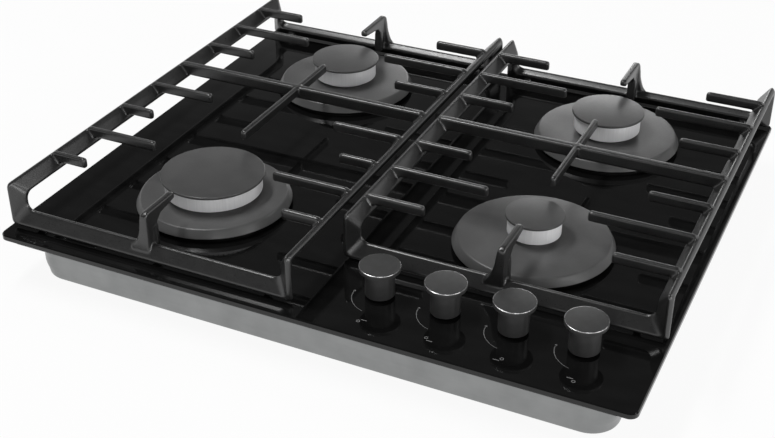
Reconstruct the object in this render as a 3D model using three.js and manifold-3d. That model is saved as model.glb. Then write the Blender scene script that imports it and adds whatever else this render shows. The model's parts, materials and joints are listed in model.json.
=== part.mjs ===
// A built-in gas cooktop: a black glass top with four burners, two lift-off pan
// supports and four control knobs, over a steel tray that holds the gas parts.
// Millimetres, +Z up. The origin is under the middle of the glass, on the tray's floor.

import * as THREE from 'three';
import { mergeVertices } from 'three/addons/utils/BufferGeometryUtils.js';
import Module from 'manifold-3d';

const wasm = await Module();
wasm.setup();

// ---------------------------------------------------------------- driving sizes

const SEAT_GAP = 0.3; // left between pieces that rest on each other

// glass top
const GLASS_WIDTH = 600;
const GLASS_DEPTH = 520;
const GLASS_THICKNESS = 6;
const GLASS_CORNER_RADIUS = 8;
const GLASS_BEVEL = 1;

// steel tray under the glass
const TRAY_SIDE_RIM = 22; // the glass reaches this far past the tray at the left and right
const TRAY_END_RIM = 26; // and at the front and back
const TRAY_Y = -6; // set forward, so the gas inlet stays inside the worktop cut-out
const TRAY_HEIGHT = 43.2;
const TRAY_WALL = 1;
const TRAY_TOP_CORNER = 20;
const TRAY_FLOOR_CORNER = 26;
const TRAY_FLOOR_EDGE = 2.5;
const TRAY_UPRIGHT_FROM = 0.35; // share of the height above which the corners stay even

// foam seal between the glass rim and a worktop
const SEAL_WIDTH = 9;
const SEAL_THICKNESS = 2.5;
const CUTOUT_ROOM = 2; // between the tray's sides and the worktop's cut-out
const CUTOUT_BACK_ROOM = 1; // and behind the gas inlet
const SEAL_SETBACK = 2;

// pan supports: a bent bar in a closed loop, low at front and back, high at the sides
const LEFT_GRATE_RIM = 10.5; // from the edge of the glass to the middle of the left side bar
const RIGHT_GRATE_RIM = 9.2;
const GRATE_MIDDLE_RIM = 10; // from the middle of the glass to the left grate's other bar
const GRATE_BACK_RIM = 14;
const LEFT_GRATE_FRONT_RIM = 22;
const RIGHT_GRATE_FRONT_RIM = 103;
const BAR_WIDTH = 16.5;
const BAR_THICKNESS = 6.2;
const BACK_RAIL_THICKNESS = 10.5; // the back rails are thicker along their upper edge
const BAR_EDGE = 1.8;
const POST_LEAN = 45; // degrees, towards the middle of the grate
const RAIL_LEAN = 53;
const SIDE_BAR_WIDTH = 12.5; // the bar is narrower and flatter along the high sides
const SIDE_BAR_LEAN = 30;
const SIDE_BAR_HEIGHT = 39.3; // middle of the side bars above the glass
const HIGH_BEND = { inside: 4, outside: 13 }; // radii where a post meets a side bar
const LOW_BEND = { inside: 8, outside: 3.5 }; // and where it meets a low rail
const BEND_STEPS = 4;
const GRATE_FOOT = 1.2;
const PAN_HEIGHT = 49.5; // top of the fingers above the glass
const FINGER_HEIGHT = 10;
const FINGER_THICKNESS = 5.5;
const FINGER_EDGE = 1.4; // bevel on all the upright bars
const FINGER_TIP_ROUND = 1.5;
const ROOT_DROP = 3;
const ROOT_OVERLAP = 3.5; // the finger starts this far outside the side bar's middle
const FINGER_PITCH = 55.3;
const CROSS_BAR_WIDTH = 8;
const CROSS_BAR_HEIGHT = 13;
const CROSS_BAR_Y = 41;
const SHORT_FINGER = 55;
const LONG_FINGER = 93;
const LARGE_SIDE_SHORT_FINGER = 35.5;
const LARGE_SIDE_LONG_FINGER = 75.5;
const MIDDLE_FINGER = 70;
const END_POST_DEPTH = 17;
const END_POST_SETBACK = 3.3; // its outer face from the middle of the low rail
const END_POST_FILLET = 6; // under its finger
const END_POST_THICKNESS = 6.8;
const END_POST_TIP_HEIGHT = 6.5; // its finger thins towards the tip
const END_POST_RIB = { foot: 9.5, top: 8.6, depth: 7 }; // it is thicker along its inner side
// on one side the post widens to the rail below it: [reach, height above the rail's middle]
const END_POST_FLARE = [[15, 0], [15, 5], [12, 8.5], [9.5, 11.5], [7.8, 16], [6, 22], [4.6, 33], [3.4, 38.5]];
const FRONT_END_REACH = 46;
const BACK_END_REACH = 54.5;
const LEFT_SPINE_FRONT = -71;
const RIGHT_SPINE_FRONT = -29;
const SPINE_BACK = 101;
const FOOT_RADIUS = 4;
const FOOT_INSET = 20; // from the middle of the corner posts
const FOOT_SETBACK = 3; // inside the middle of the low rail

// burners
const BURNER_SIDE_RIM = 150; // from the edge of the glass to the middle of a burner
const BACK_BURNER_RIM = 110;
const LEFT_FRONT_BURNER_RIM = 133;
const RIGHT_FRONT_BURNER_RIM = 189;
const PLATE_TOP_RADIUS = 69.5;
const PLATE_RADIUS = 74;
const PLATE_FOOT_RADIUS = 66; // the rim overhangs a narrower foot
const PLATE_HEIGHT = 12.7;
const PLATE_BEVEL_HEIGHT = 4.5;
const PLATE_WALL = 1.5;
const LARGE = { capRadius: 49.3, ringRadius: 46.3, capTop: 33.8 };
const MEDIUM = { capRadius: 36.5, ringRadius: 33.4, capTop: 36 };
const SMALL = { capRadius: 27, ringRadius: 24.5, capTop: 35 };
const CAP_THICKNESS = 2.6;
const CAP_EDGE = 0.7;
const CAP_SPIGOT_DROP = 3;
const CAP_SPIGOT_GAP = 1;
const RING_SKIRT = 3.5; // dark foot between the base plate and the bright ring
const RING_FOOT_INSET = 6;
const RING_WALL = 4;
const RING_DECK = 2;
const THROAT_RADIUS = 11;
const THROAT_WALL = 2;
const CUP_RADIUS = 21;
const CUP_WALL = 3;
const CUP_FLOOR = 4;
const CUP_FLANGE = 4;
const CUP_FLANGE_GAP = 1; // between the flange and the edge of the glass hole
const GLASS_HOLE_MARGIN = 9; // glass hole beyond the flame ring
const PROBE_MARGIN = 3.8; // middle of spark plug and thermocouple beyond the flame ring
const PROBE_ANGLE = 115; // they stand behind the burner
const PROBE_SPREAD = 20;
const PROBE_RADIUS = 2.2;
const PROBE_TOP = 19;
const JET_RADIUS = 3;
const JET_HEIGHT = 12;
const JET_HEX = 5;
const JET_BORE = 0.8;
const JET_BORE_FLOOR = 2;
const PROBE_COLLAR = 1.5;
const PROBE_COLLAR_HEIGHT = 3;
const PROBE_BOTTOM = 12; // below the glass
const SPARK_TIP = { radius: 0.8, height: 5 };
const THERMOCOUPLE_TIP = { radius: 1.6, height: 3 };

// control knobs and gas taps
const FIRST_KNOB_RIM = 242; // from the right edge of the glass
const KNOB_PITCH = 60.3;
const KNOB_FRONT_RIM = 61;
const KNOB_TOP = 30.7;
const KNOB_HEAD_RADIUS = 18;
const KNOB_HEAD_HEIGHT = 4;
const KNOB_STEM_RADIUS = 13;
const KNOB_EDGE = 0.6;
const KNOB_BORE_ROOF = 2; // under the head
const KNOB_LIFT = 2.3; // gap under the stem, a little more than the push
const SPINDLE_RADIUS = 3;
const SPINDLE_HOLE_RADIUS = 5;
const PLUG_RADIUS = 7;
const PLUG_TAPER = 1;
const PLUG_HEIGHT = 18;
const TAP_WIDTH = 24;
const TAP_DEPTH = 32;
const TAP_HEIGHT = 26;
const TAP_FLOOR = 3;
const RUNNING_GAP = 0.3;

// gas rail, pipes and electrical pieces in the tray
const RAIL_RADIUS = 6.5;
const RAIL_Z = 21;
const RAIL_SETBACK = 18; // from the tray's side
const INLET_SIDE_SETBACK = 46;
const RAIL_JOG_SETBACK = 108; // from the tray's back, where the rail turns to the inlet
const RAIL_BEND = 16;
const RAIL_JOG_DEPTH = 50;
const RAIL_OVERHANG = 6; // past the first tap
const PIPE_RADIUS = 3;
const LOW_PIPE_Z = 12;
const LEFT_PIPE_SHIFT = 70; // the pipe to the back left burner runs back this far inside the right burners
const RIGHT_PIPE_SHIFT = 55; // and the one to the back right burner this far outside
const PIPE_BEND = 12;
const PIPE_LEAD = 28; // straight run out of the tap before a pipe turns
const PIPE_SHIFT = 34; // length over which it moves sideways or down
const LEFT_PIPE_ROOM = 8.5; // more for the back left pipe, which moves further
const CROSS_PIPE_DROP = 60; // before the back burners, where the back left pipe turns to its own
const CROSS_PIPE_END = 110; // from that burner's middle
const DIP_END = 90; // before the back burners; up to there the back right pipe passes under the rest
const DIP_RISE = 40;
const BRIDGE_WIDTH = 50;
const BRIDGE_THICKNESS = 1.5;
const BRIDGE_Z = 19;
const BRIDGE_FRONT_SETBACK = 75; // from the tray's front
const BRIDGE_BACK_SETBACK = 38;
const BRIDGE_FOOT = 14;
const INLET_RADIUS = 10.5; // half-inch pipe thread
const INLET_BORE = 6;
const INLET_REACH = 16;
const INLET_BLOCK = 22;
const INLET_SETBACK = 3; // between the block and the tray's back wall
const INLET_ROOT = 2; // the stub runs this far into the block
const INLET_BORE_FLOOR = 5;
const IGNITION_SIZE = [44, 74, 26];
const IGNITION_SETBACK = [46, 20]; // from the tray's left side and behind its middle
const IGNITION_POST_RADIUS = 3;
const IGNITION_POST_HEIGHT = 7;
const IGNITION_POST_PITCH = 16;
const TERMINAL_SIZE = [46, 30, 22];
const TERMINAL_X = 70;
const TERMINAL_SETBACK = 9; // from the tray's back wall
const WELL_RADIUS = 3.5;
const WELL_DEPTH = 8;
const WELL_PITCH = 14;
const GLAND_RADIUS = 7;
const GLAND_BORE = 4.5;
const GLAND_COLLAR = 9;
const GLAND_INNER_COLLAR = 4; // thickness
const GLAND_OUTER_COLLAR = 3;

// how finely round things are cut
const PLATE_SIDES = 30;
const BURNER_SIDES = 28; // rings, caps and the holes under them
const KNOB_SIDES = 22;
const CUP_SIDES = 20;
const PLUG_SIDES = 14;
const SMALL_SIDES = 12;
const ROD_SIDES = 10;
const TURNED_ROD_SIDES = 8;
const PIPE_STEP = 12;
const RAIL_STEP = 14;
const CUT_MARGIN = 1; // how far a cutter passes the face it cuts

// ---------------------------------------------------------------- derived sizes

const GLASS_BOTTOM = TRAY_HEIGHT + SEAT_GAP;
const GLASS_TOP = GLASS_BOTTOM + GLASS_THICKNESS;
const RIGHT_EDGE = GLASS_WIDTH / 2;
const FRONT_EDGE = -GLASS_DEPTH / 2;
const BACK_EDGE = GLASS_DEPTH / 2;
const TRAY_WIDTH = GLASS_WIDTH - 2 * TRAY_SIDE_RIM;
const TRAY_DEPTH = GLASS_DEPTH - 2 * TRAY_END_RIM;
const TRAY_FRONT = TRAY_Y - TRAY_DEPTH / 2;
const TRAY_BACK = TRAY_Y + TRAY_DEPTH / 2;
const CUTOUT_WIDTH = TRAY_WIDTH + 2 * CUTOUT_ROOM;
const CUTOUT_DEPTH = 2 * (TRAY_BACK + INLET_REACH + CUTOUT_BACK_ROOM);
const LEFT_GRATE_X = LEFT_GRATE_RIM - RIGHT_EDGE;
const GRATE_WIDTH = RIGHT_EDGE - LEFT_GRATE_RIM - GRATE_MIDDLE_RIM; // between the middles of its posts
const RIGHT_GRATE_X = RIGHT_EDGE - RIGHT_GRATE_RIM - GRATE_WIDTH;
const GRATE_BACK = BACK_EDGE - GRATE_BACK_RIM;
const LEFT_GRATE_FRONT = FRONT_EDGE + LEFT_GRATE_FRONT_RIM;
const RIGHT_GRATE_FRONT = FRONT_EDGE + RIGHT_GRATE_FRONT_RIM;
const BURNER_X = RIGHT_EDGE - BURNER_SIDE_RIM;
const BACK_BURNER_Y = BACK_EDGE - BACK_BURNER_RIM;
const LEFT_FRONT_BURNER_Y = FRONT_EDGE + LEFT_FRONT_BURNER_RIM;
const RIGHT_FRONT_BURNER_Y = FRONT_EDGE + RIGHT_FRONT_BURNER_RIM;
const FIRST_KNOB_X = RIGHT_EDGE - FIRST_KNOB_RIM;
const KNOB_Y = FRONT_EDGE + KNOB_FRONT_RIM;
const RAIL_LEAN_ANGLE = THREE.MathUtils.degToRad(RAIL_LEAN);
const BAR_REACH = (BAR_WIDTH * Math.sin(RAIL_LEAN_ANGLE) + BAR_THICKNESS * Math.cos(RAIL_LEAN_ANGLE)) / 2;
const LOW_RAIL_Z = GLASS_TOP + GRATE_FOOT + BAR_REACH;
const SIDE_BAR_Z = GLASS_TOP + SIDE_BAR_HEIGHT;
const FINGER_TOP = GLASS_TOP + PAN_HEIGHT;
const RAIL_SIDE_X = TRAY_WIDTH / 2 - RAIL_SETBACK;
const INLET_X = TRAY_WIDTH / 2 - INLET_SIDE_SETBACK;
const RAIL_JOG_Y = TRAY_BACK - RAIL_JOG_SETBACK;
const LEFT_PIPE_X = BURNER_X - LEFT_PIPE_SHIFT;
const RIGHT_PIPE_X = BURNER_X + RIGHT_PIPE_SHIFT;
const BRIDGE_FRONT = TRAY_FRONT + BRIDGE_FRONT_SETBACK;
const BRIDGE_BACK = TRAY_BACK - BRIDGE_BACK_SETBACK;
const TAP_Z = RAIL_Z - TAP_HEIGHT / 2;
const TAP_BACK = KNOB_Y + TAP_DEPTH / 2;
const RAIL_Y = TAP_BACK + RAIL_RADIUS + SEAT_GAP;
const INLET_BLOCK_BACK = TRAY_BACK - TRAY_WALL - INLET_SETBACK;
const PIPE_Z = RAIL_Z + RAIL_RADIUS + PIPE_RADIUS + 2 * SEAT_GAP;

const BURNERS = [
  { name: 'front_left', x: -BURNER_X, y: LEFT_FRONT_BURNER_Y, size: LARGE },
  { name: 'back_left', x: -BURNER_X, y: BACK_BURNER_Y, size: MEDIUM },
  { name: 'back_right', x: BURNER_X, y: BACK_BURNER_Y, size: MEDIUM },
  { name: 'front_right', x: BURNER_X, y: RIGHT_FRONT_BURNER_Y, size: SMALL },
];
const KNOBS = BURNERS.map((burner, i) => ({ name: burner.name, x: FIRST_KNOB_X + i * KNOB_PITCH }));

// ---------------------------------------------------------------- materials

function finish(color, roughness, metalness = 0) {
  return new THREE.MeshStandardMaterial({ color, roughness, metalness });
}

const BLACK_GLASS = finish(0x0b0b0c, 0.08);
const PRESSED_STEEL = finish(0x8a8b8c, 0.45, 0.8);
const CAST_IRON = finish(0x2b2b2c, 0.7);
const CAP_ENAMEL = finish(0x3c3c3d, 0.6);
const PLATE_ENAMEL = finish(0x474748, 0.55);
const BRIGHT_ALUMINIUM = finish(0xc9cacb, 0.35, 0.9);
const CAST_ALUMINIUM = finish(0x8f9092, 0.6, 0.8);
const KNOB_PLASTIC = finish(0x303031, 0.5);
const BRASS = finish(0xb08d45, 0.4, 0.9);
const CERAMIC = finish(0xe9e6dd, 0.5);
const PROBE_STEEL = finish(0xa9aaab, 0.35, 0.9);
const FOAM = finish(0x1c1c1c, 0.95);
const WHITE_PLASTIC = finish(0xd8d6cf, 0.6);
const GREY_PLASTIC = finish(0x5b5c5e, 0.6);

// ---------------------------------------------------------------- solids and cuts

function solid(geometry) {
  const bare = geometry.clone();
  bare.deleteAttribute('normal');
  bare.deleteAttribute('uv');
  const merged = mergeVertices(bare, 1e-4);
  return new wasm.Manifold(new wasm.Mesh({
    numProp: 3,
    vertProperties: new Float32Array(merged.attributes.position.array),
    triVerts: new Uint32Array(merged.index.array),
  }));
}

function geometryOf(manifold) {
  const mesh = manifold.getMesh();
  const geometry = new THREE.BufferGeometry();
  geometry.setAttribute('position', new THREE.BufferAttribute(new Float32Array(mesh.vertProperties), 3));
  geometry.setIndex(new THREE.BufferAttribute(new Uint32Array(mesh.triVerts), 1));
  geometry.computeVertexNormals();
  return geometry;
}

const group = new THREE.Group();

function part(name, shape, material) {
  const geometry = shape.isBufferGeometry ? shape : geometryOf(shape);
  const mesh = new THREE.Mesh(geometry, material);
  mesh.name = name;
  group.add(mesh);
  return mesh;
}

// A body of revolution about Z. The outline is a list of [radius, height].
function turned(outline, segments = 32) {
  const points = outline.map(([r, z]) => new THREE.Vector2(r, z));
  const geometry = new THREE.LatheGeometry(points, segments);
  geometry.rotateX(Math.PI / 2);
  return geometry;
}

function cylinder(radius, bottom, top, x = 0, y = 0, segments = 24) {
  const geometry = new THREE.CylinderGeometry(radius, radius, top - bottom, segments);
  geometry.rotateX(Math.PI / 2);
  geometry.translate(x, y, (top + bottom) / 2);
  return geometry;
}

// A box from its middle in plan, its floor and its size.
function block(width, depth, height, x, y, bottom) {
  const geometry = new THREE.BoxGeometry(width, depth, height);
  geometry.translate(x, y, bottom + height / 2);
  return geometry;
}

function outlineAt(width, depth, radius, z, cornerSteps = 4) {
  const ring = [];
  const x = width / 2 - radius;
  const y = depth / 2 - radius;
  for (let corner = 0; corner < 4; corner++) {
    const sx = corner === 0 || corner === 3 ? 1 : -1;
    const sy = corner < 2 ? 1 : -1;
    for (let i = 0; i <= cornerSteps; i++) {
      const angle = (corner + i / cornerSteps) * Math.PI / 2;
      ring.push(new THREE.Vector3(sx * x + radius * Math.cos(angle), sy * y + radius * Math.sin(angle), z));
    }
  }
  return ring;
}

// The corner-rounded rectangle that the glass and its seal are cut from.
function roundedRectangle(width, depth, radius) {
  return new THREE.Shape(outlineAt(width, depth, radius, 0).map((p) => new THREE.Vector2(p.x, p.y)));
}

function roundHole(x, y, radius, segments) {
  const points = [];
  for (let i = 0; i < segments; i++) {
    const angle = i / segments * 2 * Math.PI;
    points.push(new THREE.Vector2(x + radius * Math.cos(angle), y + radius * Math.sin(angle)));
  }
  return new THREE.Path(points);
}

// A closed skin over rings of equally many points. A loop joins its last ring
// to its first; otherwise the first and last rings are filled.
function skin(rings, loop = false) {
  const count = rings[0].length;
  const positions = rings.flat().flatMap((p) => [p.x, p.y, p.z]);
  const index = [];
  const bands = loop ? rings.length : rings.length - 1;
  for (let j = 0; j < bands; j++) {
    const a = j * count;
    const b = ((j + 1) % rings.length) * count;
    for (let i = 0; i < count; i++) {
      const k = (i + 1) % count;
      index.push(a + i, a + k, b + k, a + i, b + k, b + i);
    }
  }
  if (!loop) {
    const last = (rings.length - 1) * count;
    for (let i = 1; i < count - 1; i++) {
      index.push(0, i + 1, i);
      index.push(last, last + i, last + i + 1);
    }
  }
  const geometry = new THREE.BufferGeometry();
  geometry.setAttribute('position', new THREE.Float32BufferAttribute(positions, 3));
  geometry.setIndex(index);
  geometry.computeVertexNormals();
  return geometry;
}

// A round tube along a path of lines whose corners are rounded.
function roundedPath(points, radius) {
  const path = new THREE.CurvePath();
  let from = points[0];
  for (let i = 1; i < points.length - 1; i++) {
    const corner = points[i];
    const back = points[i - 1].clone().sub(corner).normalize();
    const ahead = points[i + 1].clone().sub(corner).normalize();
    const start = corner.clone().addScaledVector(back, radius);
    const end = corner.clone().addScaledVector(ahead, radius);
    path.add(new THREE.LineCurve3(from, start));
    path.add(new THREE.QuadraticBezierCurve3(start, corner, end));
    from = end;
  }
  path.add(new THREE.LineCurve3(from, points[points.length - 1]));
  return path;
}

function tube(points, radius, bend, sides, step) {
  const path = roundedPath(points.map((p) => new THREE.Vector3(...p)), bend);
  const steps = Math.min(80, Math.ceil(path.getLength() / step));
  const section = new THREE.Shape();
  section.absarc(0, 0, radius, 0, 2 * Math.PI);
  const geometry = new THREE.ExtrudeGeometry(section, {
    steps, extrudePath: path, curveSegments: sides / 2, bevelEnabled: false,
  });
  return geometry;
}

// ---------------------------------------------------------------- glass, seal and tray

function glassHoleRadius(size) {
  return size.ringRadius + GLASS_HOLE_MARGIN;
}

function makeGlass() {
  const shape = roundedRectangle(GLASS_WIDTH, GLASS_DEPTH, GLASS_CORNER_RADIUS);
  for (const burner of BURNERS) {
    shape.holes.push(roundHole(burner.x, burner.y, glassHoleRadius(burner.size), BURNER_SIDES));
  }
  for (const knob of KNOBS) {
    shape.holes.push(roundHole(knob.x, KNOB_Y, SPINDLE_HOLE_RADIUS, SMALL_SIDES));
  }
  const geometry = new THREE.ExtrudeGeometry(shape, {
    depth: GLASS_THICKNESS - 2 * GLASS_BEVEL,
    bevelThickness: GLASS_BEVEL,
    bevelSize: GLASS_BEVEL,
    bevelOffset: -GLASS_BEVEL,
    bevelSegments: 1,
  });
  geometry.translate(0, 0, GLASS_BOTTOM + GLASS_BEVEL);
  return geometry;
}

function makeSeal() {
  const innerWidth = CUTOUT_WIDTH + 2 * SEAL_SETBACK;
  const innerDepth = CUTOUT_DEPTH + 2 * SEAL_SETBACK;
  const radius = GLASS_CORNER_RADIUS;
  const shape = roundedRectangle(innerWidth + 2 * SEAL_WIDTH, innerDepth + 2 * SEAL_WIDTH, radius);
  shape.holes.push(roundedRectangle(innerWidth, innerDepth, radius / 2));
  const geometry = new THREE.ExtrudeGeometry(shape, {
    depth: SEAL_THICKNESS, bevelEnabled: false,
  });
  geometry.translate(0, 0, GLASS_BOTTOM - SEAL_THICKNESS - SEAT_GAP);
  return geometry;
}

function trayRings(inset, floor) {
  const ring = (corner, z, extra = 0) => outlineAt(
    TRAY_WIDTH - 2 * (inset + extra), TRAY_DEPTH - 2 * (inset + extra), corner - inset, z);
  return [
    ring(TRAY_FLOOR_CORNER - TRAY_FLOOR_EDGE, floor, TRAY_FLOOR_EDGE),
    ring(TRAY_FLOOR_CORNER, floor + TRAY_FLOOR_EDGE),
    ring(TRAY_TOP_CORNER, TRAY_HEIGHT * TRAY_UPRIGHT_FROM),
    ring(TRAY_TOP_CORNER, TRAY_HEIGHT),
  ];
}

function makeTray() {
  const outside = trayRings(0, 0);
  const inside = trayRings(TRAY_WALL, TRAY_WALL).reverse();
  let tray = solid(skin([...outside, ...inside])).translate([0, TRAY_Y, 0]);
  const through = 4 * TRAY_WALL;
  const inletHole = cylinder(INLET_RADIUS + SEAT_GAP, -through, through);
  inletHole.rotateX(Math.PI / 2);
  inletHole.translate(INLET_X, TRAY_BACK, RAIL_Z);
  const glandHole = cylinder(GLAND_RADIUS + SEAT_GAP, -through, through);
  glandHole.rotateX(Math.PI / 2);
  glandHole.translate(TERMINAL_X, TRAY_BACK, RAIL_Z);
  tray = tray.subtract(solid(inletHole)).subtract(solid(glandHole));
  return tray;
}

// ---------------------------------------------------------------- pan supports

// Section of the bent bar, in (along its width, along its thickness). Its upper
// edge can be thicker than the lower one.
function barSection(width, upperThickness) {
  const u = width / 2;
  const v = BAR_THICKNESS / 2;
  const upper = upperThickness / 2;
  const e = BAR_EDGE;
  return [
    [u, -upper + e], [u, upper - e], [u - e, upper], [-u + e, v],
    [-u, v - e], [-u, -v + e], [-u + e, -v], [u - e, -upper],
  ];
}

// The loop runs low along the front, up a post, high along the side, down again
// and so on. The bar's width always leans towards the middle of the grate. It is
// cast, so the inside and the outside of a bend each have a radius of their own.
function makeFrame(xMin, xMax, yMin, yMax) {
  const corners = [
    [xMax, yMin, LOW_RAIL_Z], [xMax, yMin, SIDE_BAR_Z], [xMax, yMax, SIDE_BAR_Z], [xMax, yMax, LOW_RAIL_Z],
    [xMin, yMax, LOW_RAIL_Z], [xMin, yMax, SIDE_BAR_Z], [xMin, yMin, SIDE_BAR_Z], [xMin, yMin, LOW_RAIL_Z],
  ].map((p) => new THREE.Vector3(...p));
  const middle = new THREE.Vector3((xMin + xMax) / 2, (yMin + yMax) / 2, (LOW_RAIL_Z + SIDE_BAR_Z) / 2);
  const rings = [];
  corners.forEach((corner, i) => {
    const a = corner.clone().sub(corners[(i + 7) % 8]).normalize();
    const b = corners[(i + 1) % 8].clone().sub(corner).normalize();
    const high = corner.z === SIDE_BAR_Z;
    const bend = high ? HIGH_BEND : LOW_BEND;
    const post = { width: BAR_WIDTH, lean: POST_LEAN };
    const run = high ? { width: SIDE_BAR_WIDTH, lean: SIDE_BAR_LEAN } : { width: BAR_WIDTH, lean: RAIL_LEAN };
    const runUpper = !high && corner.y === yMax ? BACK_RAIL_THICKNESS : BAR_THICKNESS;
    const towardsRun = Math.abs(b.z) < Math.abs(a.z);
    const side = new THREE.Vector3().crossVectors(a, b);
    const hand = side.dot(middle.clone().sub(corner)) < 0 ? -1 : 1;
    side.multiplyScalar(hand);
    for (let step = 0; step <= BEND_STEPS; step++) {
      const angle = step / BEND_STEPS * Math.PI / 2;
      const inward = b.clone().multiplyScalar(Math.cos(angle)).addScaledVector(a, -Math.sin(angle));
      const share = towardsRun ? step / BEND_STEPS : 1 - step / BEND_STEPS;
      const lean = THREE.MathUtils.degToRad(THREE.MathUtils.lerp(post.lean, run.lean, share));
      const upper = THREE.MathUtils.lerp(BAR_THICKNESS, runUpper, share);
      const section = barSection(THREE.MathUtils.lerp(post.width, run.width, share), upper);
      rings.push(section.map(([u, v]) => {
        const inset = u * Math.sin(lean) - hand * v * Math.cos(lean);
        const across = u * Math.cos(lean) + hand * v * Math.sin(lean);
        const radius = THREE.MathUtils.mapLinear(inset, -BAR_REACH, BAR_REACH, bend.outside, bend.inside);
        return corner.clone().addScaledVector(b, inset + radius).addScaledVector(a, -inset - radius)
          .addScaledVector(inward, -radius).addScaledVector(side, across);
      }));
    }
  });
  return solid(skin(rings, true));
}

// An upright bar of even thickness, from its outline of [along, height] points.
function uprightBar(outline, thickness, x, y, alongY, bevel = FINGER_EDGE) {
  const shape = new THREE.Shape(outline.map(([s, z]) => new THREE.Vector2(s, z)));
  const geometry = new THREE.ExtrudeGeometry(shape, {
    depth: thickness - 2 * bevel, bevelEnabled: bevel > 0, bevelSize: bevel, bevelThickness: bevel,
    bevelOffset: -bevel, bevelSegments: 1,
  });
  geometry.rotateX(Math.PI / 2);
  geometry.translate(0, thickness / 2 - bevel, 0);
  if (alongY) {
    geometry.rotateZ(Math.PI / 2);
  }
  geometry.translate(x, y, 0);
  return solid(geometry);
}

// A finger from a side bar towards the burner; direction is +1 or -1 along X.
function finger(barX, y, length, direction) {
  const top = FINGER_TOP;
  const root = -ROOT_OVERLAP;
  const outline = [
    [root, top - FINGER_HEIGHT], [length, top - FINGER_HEIGHT], [length, top - FINGER_TIP_ROUND],
    [length - FINGER_TIP_ROUND, top], [root + ROOT_DROP, top], [root, top - ROOT_DROP],
  ];
  const mirrored = direction > 0 ? outline : outline.map(([s, z]) => [-s, z]).reverse();
  return uprightBar(mirrored, FINGER_THICKNESS, barX, y, false);
}

function crossBar(xMin, xMax) {
  const top = FINGER_TOP;
  const from = -ROOT_OVERLAP;
  const to = xMax - xMin + ROOT_OVERLAP;
  const outline = [
    [from, top - CROSS_BAR_HEIGHT], [to, top - CROSS_BAR_HEIGHT], [to, top - ROOT_DROP],
    [to - ROOT_DROP, top], [from + ROOT_DROP, top], [from, top - ROOT_DROP],
  ];
  return uprightBar(outline, CROSS_BAR_WIDTH, xMin, CROSS_BAR_Y, false);
}

function spine(x, front, back) {
  const top = FINGER_TOP;
  const outline = [
    [front, top - FINGER_HEIGHT], [back, top - FINGER_HEIGHT], [back, top - FINGER_TIP_ROUND],
    [back - FINGER_TIP_ROUND, top], [front + FINGER_TIP_ROUND, top], [front, top - FINGER_TIP_ROUND],
  ];
  return uprightBar(outline, FINGER_THICKNESS, x, 0, true);
}

// The post in the middle of a low rail, with its finger over the burner: the bent
// finger itself, a rib along its inner side and a flare along the rail. The flare
// lies to the left of a front post and to the right of a back post.
function endPost(x, railY, direction, fingerReach) {
  const top = FINGER_TOP;
  const outer = -END_POST_SETBACK;
  const inner = outer + END_POST_DEPTH;
  const tip = outer + fingerReach;
  const outline = [
    [outer, LOW_RAIL_Z], [inner, LOW_RAIL_Z], [inner, top - FINGER_HEIGHT - END_POST_FILLET],
    [inner + END_POST_FILLET, top - FINGER_HEIGHT], [tip, top - END_POST_TIP_HEIGHT], [tip, top - FINGER_TIP_ROUND],
    [tip - FINGER_TIP_ROUND, top], [outer + ROOT_DROP, top], [outer, top - ROOT_DROP],
  ];
  const placed = direction > 0 ? outline : outline.map(([s, z]) => [-s, z]).reverse();
  const ribTop = top - FINGER_HEIGHT - END_POST_FILLET;
  const rib = END_POST_RIB;
  const ribOutline = [
    [-rib.foot / 2, LOW_RAIL_Z], [rib.foot / 2, LOW_RAIL_Z], [rib.top / 2, ribTop], [-rib.top / 2, ribTop],
  ];
  const ribY = railY + direction * (inner - rib.depth / 2);
  const flare = END_POST_FLARE.map(([reach, height]) => [reach, LOW_RAIL_Z + height]);
  const flareFoot = [0, LOW_RAIL_Z];
  const flareTop = [0, flare[flare.length - 1][1]];
  const flareOutline = [flareFoot, ...flare, flareTop];
  const flarePlaced = direction < 0 ? flareOutline : flareOutline.map(([s, z]) => [-s, z]).reverse();
  return uprightBar(placed, END_POST_THICKNESS, x, railY, true)
    .add(uprightBar(ribOutline, rib.depth, x, ribY, false))
    .add(uprightBar(flarePlaced, END_POST_THICKNESS, x, railY, false));
}

function footPad(x, y) {
  return solid(cylinder(FOOT_RADIUS, GLASS_TOP + SEAT_GAP, LOW_RAIL_Z - BAR_REACH / 3, x, y, SMALL_SIDES));
}

// reaches lists each finger row: [rows from the cross-bar, length]
function makeGrate(xMin, yMin, reaches, spineFront) {
  const xMax = xMin + GRATE_WIDTH;
  const x = (xMin + xMax) / 2;
  let grate = makeFrame(xMin, xMax, yMin, GRATE_BACK);
  for (const [row, reach] of reaches) {
    const y = CROSS_BAR_Y + row * FINGER_PITCH;
    grate = grate.add(finger(xMin, y, reach, 1)).add(finger(xMax, y, reach, -1));
  }
  grate = grate.add(crossBar(xMin, xMax)).add(spine(x, spineFront, SPINE_BACK));
  grate = grate.add(endPost(x, yMin, 1, FRONT_END_REACH)).add(endPost(x, GRATE_BACK, -1, BACK_END_REACH));
  for (const footX of [xMin + FOOT_INSET, xMax - FOOT_INSET]) {
    grate = grate.add(footPad(footX, yMin + FOOT_SETBACK)).add(footPad(footX, GRATE_BACK - FOOT_SETBACK));
  }
  return grate;
}

const BACK_ROWS = [[1, SHORT_FINGER], [2, LONG_FINGER], [3, SHORT_FINGER]];
const LEFT_FRONT_ROWS = [
  [-1, MIDDLE_FINGER], [-2, LARGE_SIDE_SHORT_FINGER],
  [-3, LARGE_SIDE_LONG_FINGER], [-4, LARGE_SIDE_SHORT_FINGER],
];
const RIGHT_FRONT_ROWS = [[-1, SHORT_FINGER], [-2, LONG_FINGER], [-3, SHORT_FINGER]];

// ---------------------------------------------------------------- burners

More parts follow.
